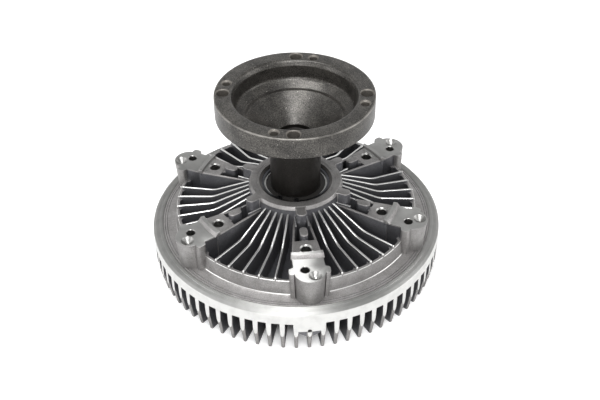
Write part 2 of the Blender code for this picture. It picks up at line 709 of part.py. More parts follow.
def make_rear_housing(material):
    """Die-cast rear housing with its fins, spokes and fan bosses."""
    housing = housing_plate(material)
    joined = (
        housing_sleeve, housing_fins, spoke_walls, fan_bosses, spoke_details, spoke_riblets, fan_registers,
    )
    combine(housing, "UNION", [helper_solid(build, material) for build in joined])
    cut = (boss_hole_cutters, pad_chamfer_cutters)
    return combine(housing, "DIFFERENCE", [helper_solid(build, material) for build in cut])


def cover_rim(material):
    """Rim of the cover: rebate for the seal ring, ledge, pocket with its rolled lip and fin roots."""
    pocket = LIP_INNER_RADIUS + LIP_OVERHANG
    lip_low = RIM_TOP_Z - LIP_THICKNESS
    root_z = COVER_FIN_HEIGHT - COVER_SKIN
    outline = [
        (REBATE_RADIUS, root_z),
        (REBATE_RADIUS, LEDGE_Z),
        (pocket, LEDGE_Z),
        (pocket, lip_low - LIP_OVERHANG + CLEARANCE / 2),
        (LIP_INNER_RADIUS, lip_low),
        (LIP_INNER_RADIUS, RIM_TOP_Z - LIP_LINE_DEPTH),
        (LIP_INNER_RADIUS + LIP_LINE_DEPTH, RIM_TOP_Z),
        (LIP_LINE_RADIUS, RIM_TOP_Z),
        (LIP_LINE_RADIUS + LIP_LINE_DEPTH, RIM_TOP_Z - LIP_LINE_DEPTH),
        (COVER_RADIUS - COVER_EDGE_BREAK, RIM_TOP_Z - LIP_LINE_DEPTH),
        (COVER_RADIUS, RIM_TOP_Z - LIP_LINE_DEPTH - COVER_EDGE_BREAK),
        (COVER_RADIUS, COVER_FIN_HEIGHT),
    ]
    phase = COVER_TURN + math.pi / RIM_SIDES
    return turned("front_cover", outline, RIM_SIDES, material, phase)


def cover_pan(bm):
    """Chamber wall, floor with its lands, reservoir and valve boss of the cover."""
    wall_top = LEDGE_Z - PAN_STEP
    outer_wall = CHAMBER_RADIUS + COVER_SKIN
    floor_under = CHAMBER_FLOOR_Z - COVER_SKIN
    centre_wall = PLATE_SEAT_RADIUS + COVER_SKIN / 2
    bore = VALVE_SHAFT_RADIUS + CLEARANCE
    half = LAND_WIDTH / 2
    land_top = CHAMBER_FLOOR_Z + LAND_HEIGHT
    outline = [
        (bore, RESERVOIR_FLOOR_Z),
        (RESERVOIR_RADIUS, RESERVOIR_FLOOR_Z),
        (RESERVOIR_RADIUS, RESERVOIR_LEDGE_Z),
        (PLATE_SEAT_RADIUS, RESERVOIR_LEDGE_Z),
        (PLATE_SEAT_RADIUS, CHAMBER_FLOOR_Z),
    ]
    for radius in reversed(land_radii(LAND_PITCH / 2)):
        outline += [
            (radius - half, CHAMBER_FLOOR_Z),
            (radius - half, land_top),
            (radius + half, land_top),
            (radius + half, CHAMBER_FLOOR_Z),
        ]
    outline += [
        (CHAMBER_RADIUS, CHAMBER_FLOOR_Z),
        (CHAMBER_RADIUS, wall_top),
        (outer_wall, wall_top),
        (outer_wall - COVER_SKIN / 2, floor_under),
        (centre_wall, floor_under),
        (centre_wall, CENTRE_UNDER_Z),
        (VALVE_BOSS_RADIUS, CENTRE_UNDER_Z),
        (VALVE_BOSS_RADIUS, CENTRE_UNDER_Z - VALVE_BOSS_DROP),
        (bore, CENTRE_UNDER_Z - VALVE_BOSS_DROP),
    ]
    spin_outline(bm, outline, PAN_SIDES)


def cover_fins(bm):
    """Deep radial fins under the cover, every second one starting further out."""
    step = math.tau / COVER_FIN_PITCH_COUNT
    face_radius = COVER_RADIUS * math.cos(math.pi / RIM_SIDES) - FACE_SETBACK
    root_z = COVER_FIN_HEIGHT + 2 * SINK
    thickness_at = drafted(0.0, COVER_FIN_TIP, COVER_FIN_HEIGHT, COVER_FIN_ROOT)
    inner_root = CHAMBER_FLOOR_Z - COVER_SKIN + SINK
    for index in range(COVER_FIN_PITCH_COUNT):
        start = COVER_LONG_FIN_START if index % 2 == 0 else COVER_SHORT_FIN_START
        outline = [
            (start, inner_root),
            (start + COVER_FIN_LEAD_IN, 0.0),
            (COVER_RADIUS - COVER_FIN_DRAFT, 0.0),
            (face_radius, COVER_FIN_HEIGHT - COVER_FIN_MACHINED),
            (face_radius, root_z),
            (REBATE_RADIUS + SINK, root_z),
            (CHAMBER_RADIUS + COVER_SKIN / 4, inner_root),
        ]
        add_blade(bm, list(reversed(outline)), thickness_at, COVER_TURN + FIRST_SPOKE + index * step)


def land_radii(shift):
    """Middle radii of one set of lands, counted inwards from the outermost."""
    first = LAND_OUTER_RADIUS - LAND_WIDTH / 2 - shift
    return [first - LAND_PITCH * index for index in range(LAND_COUNT)]


def cover_tab(bm):
    """Thick tab between two fins at the front, where the return passage is drilled."""
    outer = COVER_RADIUS * math.cos(math.pi / RIM_SIDES) - 2 * FACE_SETBACK
    low = COVER_FIN_HEIGHT - TAB_DROP
    half = outer * math.tan(TAB_HALF_ANGLE)
    inner = outer - TAB_DEPTH
    outline = [(inner, -half), (outer, -half), (outer, half), (inner, half)]
    add_prism(bm, outline, low, COVER_FIN_HEIGHT + SINK, turn_about_z(FIRST_SPOKE + COVER_TURN))


def cover_hole_cutters(bm):
    """Drilling in the tab, plate screw holes and rivet holes."""
    level = COVER_FIN_HEIGHT - TAB_DROP + TAB_HOLE_RISE
    lying = Matrix.Rotation(math.pi / 2, 4, "Y")
    aim = turn_about_z(FIRST_SPOKE + COVER_TURN) @ Matrix.Translation((0, 0, level)) @ lying
    add_rod(bm, TAB_HOLE_RADIUS, COVER_RADIUS - TAB_HOLE_DEPTH, COVER_RADIUS + OVERCUT, SMALL_SIDES, aim)
    screw_hole = PLATE_SCREW_RADIUS + CLEARANCE
    rivet_hole = RIVET_RADIUS + CLEARANCE
    for matrix in plate_screw_places():
        low = RESERVOIR_LEDGE_Z - PLATE_SCREW_LENGTH
        add_rod(bm, screw_hole, low, RESERVOIR_LEDGE_Z + OVERCUT, SMALL_SIDES, matrix)
    for matrix in rivet_places():
        high = CENTRE_UNDER_Z + RIVET_DEPTH
        add_rod(bm, rivet_hole, CENTRE_UNDER_Z - OVERCUT, high, SMALL_SIDES, matrix)


def make_front_cover(material):
    """Die-cast front cover with its cooling fins, tab and lands."""
    cover = cover_rim(material)
    joined = (cover_pan, cover_fins, cover_tab)
    combine(cover, "UNION", [helper_solid(build, material) for build in joined])
    return combine(cover, "DIFFERENCE", [helper_solid(cover_hole_cutters, material)])


def plate_screw_places():
    """Where the reservoir plate is screwed down on its ledge."""
    distance = RESERVOIR_RADIUS + LEDGE_WIDTH / 2
    return [
        turn_about_z(math.tau * index / PLATE_SCREW_COUNT) @ Matrix.Translation((distance, 0, 0))
        for index in range(PLATE_SCREW_COUNT)
    ]


def anchor_direction():
    """Direction of the post that holds the coil's outer end."""
    return math.tau * (COIL_TURNS % 1.0)


def coil_end_radius():
    """Middle radius of the coil's outer end."""
    return COIL_START_RADIUS + COIL_TURNS * COIL_PITCH


def rivet_places():
    """Where the coil's anchor is riveted to the cover."""
    turn = turn_about_z(anchor_direction())
    distance = coil_end_radius() + ANCHOR_FOOT / 2 + ANCHOR_THICKNESS
    return [
        turn @ Matrix.Translation((distance, side * ANCHOR_WIDTH / 4, 0))
        for side in (-1, 1)
    ]


def make_seal_ring(material):
    """Rubber ring round the housing's spigot, in the rebate of the cover's rim."""
    middle = (CHAMBER_RADIUS - CLEARANCE + REBATE_RADIUS) / 2
    level = LEDGE_Z - PAN_STEP + CLEARANCE + SEAL_RING_SECTION
    outline = arc((middle, level), SEAL_RING_SECTION, 0, math.tau * 4 / 5, 4)
    return turned("cover_seal_ring", outline, HOUSING_SIDES, material)


def race_arc(row_z, facing):
    """Half groove of a ball race, read upwards, opening towards the balls."""
    radius = BALL_RADIUS + BALL_CLEARANCE
    reach = math.acos(RACE_LAND / radius)
    centre = (PITCH_RADIUS, row_z)
    if facing > 0:
        return arc(centre, radius, math.pi + reach, math.pi - reach, 3)
    return arc(centre, radius, -reach, reach, 3)


def row_heights():
    """Heights of the two rows of balls."""
    return {"lower": BEARING_MIDDLE_Z - ROW_SPACING / 2, "upper": BEARING_MIDDLE_Z + ROW_SPACING / 2}


def make_inner_ring(material):
    """Inner ring with two ball grooves."""
    rows = row_heights()
    land = PITCH_RADIUS - RACE_LAND
    outline = [(BEARING_BORE_RADIUS, BEARING_LOW_Z), (land, BEARING_LOW_Z)]
    outline += race_arc(rows["lower"], 1)
    outline += race_arc(rows["upper"], 1)
    outline += [(land, BEARING_HIGH_Z), (BEARING_BORE_RADIUS, BEARING_HIGH_Z)]
    return turned("bearing_inner_ring", outline, BEARING_SIDES, material)


def make_outer_ring(material):
    """Outer ring with two ball grooves."""
    rows = row_heights()
    land = PITCH_RADIUS + RACE_LAND
    outline = [(BEARING_OUTER_RADIUS, BEARING_LOW_Z), (land, BEARING_LOW_Z)]
    outline += race_arc(rows["lower"], -1)
    outline += race_arc(rows["upper"], -1)
    outline += [(land, BEARING_HIGH_Z), (BEARING_OUTER_RADIUS, BEARING_HIGH_Z)]
    return turned("bearing_outer_ring", outline, BEARING_SIDES, material)


def make_bearing_seals(material):
    """Sealing discs that close the bearing at both ends."""
    inner = PITCH_RADIUS - RACE_LAND + CLEARANCE
    outer = PITCH_RADIUS + RACE_LAND - CLEARANCE
    seals = []
    for name, low in (
        ("bearing_lower_seal", BEARING_LOW_Z + SEAL_INSET),
        ("bearing_upper_seal", BEARING_HIGH_Z - SEAL_INSET - SEAL_THICKNESS),
    ):
        high = low + SEAL_THICKNESS
        outline = [(inner, low), (outer, low), (outer, high), (inner, high)]
        seals.append(turned(name, outline, BEARING_SIDES, material))
    return seals


def make_cage(name, row_z, side, material):
    """Crown cage that spaces one row of balls and opens towards the bearing's middle."""
    back = row_z + side * (BALL_RADIUS + BALL_CLEARANCE + CAGE_BACK)
    front = row_z - side * BALL_RADIUS / 2
    low, high = sorted((back, front))
    inner = PITCH_RADIUS - CAGE_WALL / 2
    outer = PITCH_RADIUS + CAGE_WALL / 2
    outline = [(inner, low), (outer, low), (outer, high), (inner, high)]
    cage = turned(name, outline, CAGE_SIDES, material)

    def pockets(bm):
        lying = Matrix.Rotation(math.pi / 2, 4, "Y")
        pocket = (BALL_RADIUS + BALL_CLEARANCE) / math.cos(math.pi / SMALL_SIDES)
        for index in range(BALLS_PER_ROW):
            turn = turn_about_z(math.tau * index / BALLS_PER_ROW)
            aim = turn @ Matrix.Translation((0, 0, row_z)) @ lying
            add_rod(bm, pocket, PITCH_RADIUS - CAGE_WALL, PITCH_RADIUS + CAGE_WALL, SMALL_SIDES, aim)

    return combine(cage, "DIFFERENCE", [helper_solid(pockets, material)])


def make_balls(row, row_z, material):
    """One row of balls, each its own object on a shared mesh."""
    bm = bmesh.new()
    bmesh.ops.create_icosphere(bm, subdivisions=2, radius=BALL_RADIUS)
    first = to_object(f"bearing_ball_{row}_01", bm, material)
    balls = [first]
    for index in range(1, BALLS_PER_ROW):
        ball = bpy.data.objects.new(f"bearing_ball_{row}_{index + 1:02d}", first.data)
        bpy.context.collection.objects.link(ball)
        balls.append(ball)
    for index, ball in enumerate(balls):
        angle = math.tau * index / BALLS_PER_ROW
        ball.location = (PITCH_RADIUS * math.cos(angle), PITCH_RADIUS * math.sin(angle), row_z)
    return balls


def make_circlip(material):
    """Retaining ring that snaps into the sleeve over the bearing, with a lug at each end."""
    outer = BORE_RADIUS + CIRCLIP_SEAT_DEPTH
    inner = outer - CIRCLIP_WIDTH
    lug = inner - CIRCLIP_LUG_REACH
    start = CIRCLIP_GAP / 2
    end = math.tau - start
    outline = arc((0, 0), outer, start, end, CIRCLIP_STEPS)
    outline += arc((0, 0), lug, end, end - CIRCLIP_LUG_ANGLE, 1)
    outline += arc((0, 0), inner, end - CIRCLIP_LUG_ANGLE, start + CIRCLIP_LUG_ANGLE, CIRCLIP_STEPS)
    outline += arc((0, 0), lug, start + CIRCLIP_LUG_ANGLE, start, 1)
    bm = bmesh.new()
    add_prism(bm, outline, CIRCLIP_LOW_Z, CIRCLIP_HIGH_Z, turn_about_z(CIRCLIP_TURN))
    return to_object("bearing_retaining_ring", bm, material)


def hub_outline():
    """Section of the drive hub, from the recess in its bowl down to the rotor's seat."""
    top = FLANGE_TOP_Z
    seat = BEARING_BORE_RADIUS - CLEARANCE
    cone_low = top - CONE_DEPTH
    wall_low = top - BOWL_WALL_DEPTH
    ledge = top - BOWL_LEDGE_DEPTH
    fillet = BOWL_RADIUS - BOWL_LEDGE_OUTER
    drop = wall_low - ledge
    half_way = math.sqrt(0.5)
    middle = (BOWL_LEDGE_OUTER + fillet * half_way, wall_low - drop * half_way)
    rise = (BOWL_LEDGE_INNER - RECESS_RADIUS, ledge - cone_low)
    slope = math.hypot(*rise)
    shift = (BOWL_WALL * rise[1] / slope, -BOWL_WALL * rise[0] / slope)
    under_outer = (BOWL_LEDGE_INNER + shift[0], ledge + shift[1])
    under_inner_z = under_outer[1] - (under_outer[0] - SHAFT_RADIUS) * rise[1] / rise[0]
    rotor_seat_low = ROTOR_LOW_Z + CLEARANCE
    throat_radius = FLANGE_BOLT_CIRCLE - FLANGE_BOLT_RADIUS - FLANGE_EDGE_BREAK
    edge = FLANGE_EDGE_BREAK
    return [
        (0, cone_low - RECESS_DEPTH),
        (RECESS_RADIUS, cone_low - RECESS_DEPTH),
        (RECESS_RADIUS, cone_low),
        (BOWL_LEDGE_INNER, ledge),
        (BOWL_LEDGE_OUTER, ledge),
        middle,
        (BOWL_RADIUS, wall_low),
        (BOWL_RADIUS, top - MOUTH_DEPTH),
        (MOUTH_RADIUS, top),
        (FLANGE_RADIUS - edge, top),
        (FLANGE_RADIUS, top - edge),
        (FLANGE_RADIUS, FLANGE_LOW_Z),
        (throat_radius, FLANGE_LOW_Z),
        (throat_radius - BOWL_WALL / 4, ledge - BOWL_WALL * 3 / 4),
        under_outer,
        (SHAFT_RADIUS + BOWL_WALL / 2, under_inner_z + BOWL_WALL / 2 * rise[1] / rise[0]),
        (SHAFT_RADIUS, under_inner_z - BOWL_WALL / 2),
        (SHAFT_RADIUS, SHAFT_SHOULDER_Z),
        (seat, SHAFT_SHOULDER_Z),
        (seat, SEAT_LIP_Z),
        (ROTOR_SEAT_RADIUS, SEAT_LIP_Z),
        (ROTOR_SEAT_RADIUS, rotor_seat_low),
        (0, rotor_seat_low),
    ]


def hub_hole_cutters(bm):
    """Bolt holes and threaded holes of the flange, and the rotor screw's hole."""
    above = FLANGE_TOP_Z + OVERCUT
    for index in range(FLANGE_BOLT_COUNT):
        turn = FIRST_SPOKE + HUB_TURN + math.tau * index / FLANGE_BOLT_COUNT
        bolt = turn_about_z(turn) @ Matrix.Translation((FLANGE_BOLT_CIRCLE, 0, 0))
        add_rod(bm, FLANGE_BOLT_RADIUS, FLANGE_LOW_Z - OVERCUT, above, BOLT_HOLE_SIDES, bolt)
        aside = turn_about_z(turn + FLANGE_THREAD_OFFSET)
        thread = aside @ Matrix.Translation((FLANGE_THREAD_CIRCLE, 0, 0))
        add_rod(bm, FLANGE_THREAD_RADIUS, FLANGE_TOP_Z - FLANGE_THREAD_DEPTH, above, HOLE_SIDES, thread)
    low = ROTOR_LOW_Z - OVERCUT
    high = low + ROTOR_SCREW_LENGTH + 3 * OVERCUT
    add_rod(bm, ROTOR_SCREW_RADIUS + CLEARANCE, low, high, HOLE_SIDES)


def make_hub(material):
    """Drive hub: bolted flange with its bowl, conical throat and stepped shaft."""
    hub = turned("drive_hub", hub_outline(), HUB_SIDES, material)
    return combine(hub, "DIFFERENCE", [helper_solid(hub_hole_cutters, material)])


def make_rotor(material):
    """Rotor disc with its hub and concentric lands."""
    bore = ROTOR_SEAT_RADIUS + CLEARANCE
    outline = [(bore, ROTOR_LOW_Z)]
    low = ROTOR_LOW_Z - LAND_HEIGHT
    half = LAND_WIDTH / 2
    for radius in reversed(land_radii(0.0)):
        outline += [
            (radius - half, ROTOR_LOW_Z),
            (radius - half, low),
            (radius + half, low),
            (radius + half, ROTOR_LOW_Z),
        ]
    outline += [
        (ROTOR_RADIUS, ROTOR_LOW_Z),
        (ROTOR_RADIUS, ROTOR_TOP_Z),
        (ROTOR_HUB_RADIUS + ROTOR_THICKNESS, ROTOR_TOP_Z),
        (ROTOR_HUB_RADIUS, ROTOR_TOP_Z + ROTOR_THICKNESS),
        (ROTOR_HUB_RADIUS, SEAT_LIP_Z),
        (bore, SEAT_LIP_Z),
    ]
    rotor = turned("rotor_disc", outline, PAN_SIDES, material)

    def ports(bm):
        for index in range(ROTOR_PORT_COUNT):
            turn = turn_about_z(math.tau * index / ROTOR_PORT_COUNT)
            matrix = turn @ Matrix.Translation((ROTOR_PORT_CIRCLE, 0, 0))
            low = ROTOR_LOW_Z - OVERCUT
            add_rod(bm, ROTOR_PORT_RADIUS, low, ROTOR_TOP_Z + OVERCUT, SMALL_SIDES, matrix)

    return combine(rotor, "DIFFERENCE", [helper_solid(ports, material)])


def make_rotor_fastening(material):
    """Washer and socket screw that hold the rotor on the shaft."""
    washer_top = ROTOR_LOW_Z - CLEARANCE
    washer_low = washer_top - ROTOR_WASHER_THICKNESS
    hole = ROTOR_SCREW_RADIUS + CLEARANCE
    outline = [
        (hole, washer_low),
        (ROTOR_WASHER_RADIUS, washer_low),
        (ROTOR_WASHER_RADIUS, washer_top),
        (hole, washer_top),
    ]
    washer = turned("rotor_washer", outline, WASHER_SIDES, material)
    head_top = washer_low - CLEARANCE
    head_low = head_top - ROTOR_SCREW_HEAD_HEIGHT
    screw = turned(
        "rotor_screw",
        [
            (0, head_top + ROTOR_SCREW_LENGTH),
            (ROTOR_SCREW_RADIUS, head_top + ROTOR_SCREW_LENGTH),
            (ROTOR_SCREW_RADIUS, head_top),
            (ROTOR_SCREW_HEAD_RADIUS, head_top),
            (ROTOR_SCREW_HEAD_RADIUS, head_low),
            (0, head_low),
        ],
        WASHER_SIDES, material,
    )

    def socket(bm):
        add_rod(bm, ROTOR_SCREW_SOCKET, head_low - OVERCUT, head_low + ROTOR_SCREW_SOCKET_DEPTH, 6)

    return washer, combine(screw, "DIFFERENCE", [helper_solid(socket, material)])


def make_reservoir_plate(material):
    """Plate that closes the oil reservoir, with the gate that the valve uncovers."""
    low = RESERVOIR_LEDGE_Z + CLEARANCE
    bm = bmesh.new()
    add_rod(bm, PLATE_SEAT_RADIUS - CLEARANCE, low, RESERVOIR_PLATE_TOP_Z, PAN_SIDES)
    plate = to_object("reservoir_plate", bm, material)

    def holes(bm):
        gate = turn_about_z(GATE_TURN) @ Matrix.Translation((GATE_DISTANCE, 0, 0))
        above = CHAMBER_FLOOR_Z + OVERCUT
        add_rod(bm, GATE_RADIUS, low - OVERCUT, above, HOLE_SIDES, gate)
        for matrix in plate_screw_places():
            add_rod(bm, PLATE_SCREW_RADIUS + CLEARANCE, low - OVERCUT, above, SMALL_SIDES, matrix)

    return combine(plate, "DIFFERENCE", [helper_solid(holes, material)])


def make_plate_screws(material):
    """Small pan-head screws of the reservoir plate."""
    head_low = RESERVOIR_PLATE_TOP_Z + CLEARANCE
    bm = bmesh.new()
    spin_outline(
        bm,
        [
            (0, PLATE_SCREW_HEAD_HEIGHT),
            (PLATE_SCREW_CROWN_RADIUS, PLATE_SCREW_HEAD_HEIGHT),
            (PLATE_SCREW_HEAD_RADIUS, PLATE_SCREW_HEAD_HEIGHT / 2),
            (PLATE_SCREW_HEAD_RADIUS, 0),
            (PLATE_SCREW_RADIUS, 0),
            (PLATE_SCREW_RADIUS, -PLATE_SCREW_LENGTH),
            (0, -PLATE_SCREW_LENGTH),
        ],
        SMALL_SIDES,
    )
    first = to_object("plate_screw_1", bm, material)
    for index, matrix in enumerate(plate_screw_places()):
        screw = first
        if index:
            screw = bpy.data.objects.new(f"plate_screw_{index + 1}", first.data)
            bpy.context.collection.objects.link(screw)
        screw.location = matrix.translation + Vector((0, 0, head_low))


def make_wiper_blocks(material):
    """Blocks beside the rotor's rim that push the oil back to the reservoir."""
    inner = ROTOR_RADIUS + 3 * CLEARANCE
    outer = CHAMBER_RADIUS - 3 * CLEARANCE
    low = CHAMBER_FLOOR_Z + CLEARANCE
    half = WIPER_LENGTH / 2 / outer
    outline = arc((0, 0), outer, -half, half, 3) + arc((0, 0), inner, half, -half, 3)
    for index in range(WIPER_COUNT):
        bm = bmesh.new()
        turn = WIPER_TURN + math.tau * index / WIPER_COUNT
        add_prism(bm, outline, low, low + WIPER_HEIGHT, turn_about_z(turn))
        to_object(f"wiper_block_{index + 1}", bm, material)


def arm_levels():
    """Lower and upper face of the valve arm."""
    top = RESERVOIR_LEDGE_Z + CLEARANCE - VALVE_PLATE_GAP
    return top - VALVE_ARM_THICKNESS, top


def make_valve_shaft(material):
    """Stepped valve shaft, slotted at its lower end for the bimetal coil."""
    arm_low, arm_top = arm_levels()
    seal_top = RESERVOIR_FLOOR_Z - CENTRE_SKIN / 3
    seal_low = seal_top - VALVE_SEAL_DEPTH
    neck = VALVE_SHAFT_RADIUS - VALVE_SEAL_SECTION
    outline = [
        (0, arm_top),
        (VALVE_SHAFT_RADIUS, arm_top),
        (VALVE_SHAFT_RADIUS, arm_low - CLEARANCE),
        (VALVE_SHAFT_COLLAR, arm_low - CLEARANCE),
        (VALVE_SHAFT_COLLAR, arm_low - CLEARANCE - VALVE_COLLAR_HEIGHT),
        (VALVE_SHAFT_RADIUS, arm_low - CLEARANCE - VALVE_COLLAR_HEIGHT),
        (VALVE_SHAFT_RADIUS, seal_top),
        (neck, seal_top),
        (neck, seal_low),
        (VALVE_SHAFT_RADIUS, seal_low),
        (VALVE_SHAFT_RADIUS, COIL_LOW_Z),
        (0, COIL_LOW_Z),
    ]
    shaft = turned("valve_shaft", outline, SHAFT_SIDES, material)

    def slot(bm):
        half = COIL_SLOT_WIDTH / 2
        reach = VALVE_SHAFT_RADIUS + OVERCUT
        high = COIL_LOW_Z + COIL_WIDTH + 2 * CLEARANCE
        outline = [(-reach, -half), (reach, -half), (reach, half), (-reach, half)]
        add_prism(bm, outline, COIL_LOW_Z - OVERCUT, high)

    return combine(shaft, "DIFFERENCE", [helper_solid(slot, material)])


def make_valve_seal(material):
    """Rubber ring that seals the valve shaft in the cover."""
    seal_top = RESERVOIR_FLOOR_Z - CENTRE_SKIN / 3
    middle = seal_top - VALVE_SEAL_DEPTH / 2
    inner = VALVE_SHAFT_RADIUS - VALVE_SEAL_SECTION + CLEARANCE / 3
    outer = VALVE_SHAFT_RADIUS + CLEARANCE / 3
    half = (VALVE_SEAL_DEPTH - 2 * CLEARANCE) / 2
    outline = [(inner, middle - half), (outer, middle - half), (outer, middle + half), (inner, middle + half)]
    return turned("valve_shaft_seal", outline, SHAFT_SIDES, material)


def make_valve_arm(material):
    """Flat arm that covers the gate of the reservoir plate."""
    arm_low, arm_top = arm_levels()
    end = GATE_RADIUS + GATE_LAP
    hub = VALVE_ARM_HUB_RADIUS
    half = VALVE_ARM_WIDTH / 2
    lean = math.asin(half / hub)
    tip_lean = math.asin(min(half / end, 1.0))
    outline = arc((0, 0), hub, lean, math.tau - lean, 8)
    outline += arc((GATE_DISTANCE, 0), end, -math.pi + tip_lean, math.pi - tip_lean, 6)
    bm = bmesh.new()
    add_prism(bm, outline, arm_low, arm_top, turn_about_z(GATE_TURN))
    arm = to_object("valve_arm", bm, material)

    def bore(bm):
        add_rod(bm, VALVE_SHAFT_RADIUS + CLEARANCE, arm_low - OVERCUT, arm_top + OVERCUT, SHAFT_SIDES)

    return combine(arm, "DIFFERENCE", [helper_solid(bore, material)])


def coil_point(angle, offset):
    """Point on the coil's spiral, moved outwards by an offset."""
    radius = COIL_START_RADIUS + COIL_PITCH * angle / math.tau + offset
    return radius * math.cos(angle), radius * math.sin(angle)


def make_coil(material):
    """Bimetal spiral whose inner tang sits in the shaft's slot."""
    steps = round(COIL_TURNS * COIL_STEPS_PER_TURN)
    half = COIL_THICKNESS / 2
    angles = [math.tau * COIL_TURNS * step / steps for step in range(steps + 1)]
    tang_end = -COIL_TANG_REACH
    outline = [(tang_end, -half)]
    outline += [coil_point(angle, half) for angle in angles]
    outline += [coil_point(angle, -half) for angle in reversed(angles[1:])]
    outline += [(COIL_START_RADIUS - COIL_THICKNESS, half), (tang_end, half)]
    bm = bmesh.new()
    add_prism(bm, outline, COIL_LOW_Z, COIL_LOW_Z + COIL_WIDTH)
    return to_object("bimetal_coil", bm, material)


def make_anchor(material):
    """Bent bracket that holds the coil's outer end."""
    turn = anchor_direction()
    near = coil_end_radius() + COIL_THICKNESS / 2 + CLEARANCE
    top = CENTRE_UNDER_Z - CLEARANCE
    low = COIL_LOW_Z
    gauge = ANCHOR_THICKNESS
    outline = [
        (near, low),
        (near + gauge, low),
        (near + gauge, top - gauge),
        (near + ANCHOR_FOOT, top - gauge),
        (near + ANCHOR_FOOT, top),
        (near, top),
    ]
    bm = bmesh.new()
    add_blade(bm, outline, lambda height: ANCHOR_WIDTH, turn)
    anchor = to_object("coil_anchor", bm, material)

    def holes(bm):
        for matrix in rivet_places():
            low_end = top - gauge - OVERCUT
            add_rod(bm, RIVET_RADIUS + CLEARANCE, low_end, top + OVERCUT, SMALL_SIDES, matrix)

    return combine(anchor, "DIFFERENCE", [helper_solid(holes, material)])


def make_rivets(material):
    """Rivets of the coil's anchor."""
    head_top = CENTRE_UNDER_Z - ANCHOR_THICKNESS - 2 * CLEARANCE
    for index, matrix in enumerate(rivet_places()):
        bm = bmesh.new()
        outline = [
            (0, ANCHOR_THICKNESS + RIVET_DEPTH - CLEARANCE),
            (RIVET_RADIUS, ANCHOR_THICKNESS + RIVET_DEPTH - CLEARANCE),
            (RIVET_RADIUS, 0),
            (RIVET_HEAD_RADIUS, 0),
            (RIVET_HEAD_RADIUS, -RIVET_HEAD_HEIGHT),
            (0, -RIVET_HEAD_HEIGHT),
        ]
        spin_outline(bm, outline, SMALL_SIDES)
        rivet = to_object(f"anchor_rivet_{index + 1}", bm, material)
        rivet.location = matrix.translation + Vector((0, 0, head_top))


def make_pivot(name):
    """Empty on the clutch's axis that carries the pieces of one moving group."""
    pivot = bpy.data.objects.new(name, None)
    bpy.context.collection.objects.link(pivot)
    return pivot


def build_bearing(steel, seal_rubber, cage_plastic):
    """Bearing rings, seals, cages and balls."""
    make_outer_ring(steel)
    make_inner_ring(steel)
    make_bearing_seals(seal_rubber)
    for row, side in (("lower", -1), ("upper", 1)):
        row_z = row_heights()[row]
        make_cage(f"bearing_{row}_cage", row_z, side, cage_plastic)
        make_balls(row, row_z, steel)


def group_moving_pieces():
    """Parent each moving piece to the empty on its own axis."""
    hub = make_pivot("hub_axis")
    balls = make_pivot("ball_set_axis")
    valve = make_pivot("valve_axis")
    carried = {
        hub: ("drive_hub", "bearing_inner_ring", "rotor_disc", "rotor_washer", "rotor_screw"),
        valve: ("valve_shaft", "valve_arm", "valve_shaft_seal"),
    }
    for pivot, names in carried.items():
        for name in names:
            bpy.data.objects[name].parent = pivot
    for obj in list(bpy.data.objects):
        if obj.name.startswith("bearing_ball_") or obj.name.endswith("_cage"):
            obj.parent = balls


def main():
    """Build the clutch."""
    clear_scene()
    cast_aluminium = make_material("cast_aluminium", (0.50, 0.50, 0.49), 0.42, 1.0)
    cover_aluminium = make_material("machined_aluminium", (0.66, 0.66, 0.65), 0.30, 1.0)
    cast_iron = make_material("phosphated_cast_iron", (0.075, 0.070, 0.065), 0.62, 0.55)
    bearing_steel = make_material("bearing_steel", (0.55, 0.55, 0.56), 0.22, 1.0)
    plated_steel = make_material("plated_steel", (0.45, 0.45, 0.44), 0.35, 1.0)
    rubber = make_material("black_rubber", (0.020, 0.020, 0.022), 0.70, 0.0)
    cage_plastic = make_material("cage_plastic", (0.10, 0.09, 0.07), 0.50, 0.0)
    bimetal = make_material("bimetal_strip", (0.42, 0.36, 0.28), 0.35, 1.0)
    make_rear_housing(cast_aluminium)
    make_front_cover(cover_aluminium)
    make_seal_ring(rubber)
    build_bearing(bearing_steel, rubber, cage_plastic)
    make_circlip(bearing_steel)
    make_hub(cast_iron)
    make_rotor(cover_aluminium)
    make_rotor_fastening(plated_steel)
    make_reservoir_plate(plated_steel)
    make_plate_screws(plated_steel)
    make_wiper_blocks(cover_aluminium)
    make_valve_shaft(plated_steel)
    make_valve_seal(rubber)
    make_valve_arm(plated_steel)
    make_coil(bimetal)
    make_anchor(plated_steel)
    make_rivets(plated_steel)
    group_moving_pieces()


main()
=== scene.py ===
"""Looks of the viscous fan clutch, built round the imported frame.

The rear housing, front cover, drive hub and retaining ring get finer meshes on the same outlines,
every other node keeps its own mesh, and each surface gets the finish of the real metal or rubber.
Lengths are in metres, in the frame's own axes: the clutch stands on its cover fins at z = 0 and
its first spoke points to -Y.
"""
from __future__ import annotations

import logging
import math
from collections.abc import Callable, Mapping, Sequence
from dataclasses import dataclass, field
from enum import Enum
from functools import cache

import bmesh
import bpy
from mathutils import Matrix, Vector


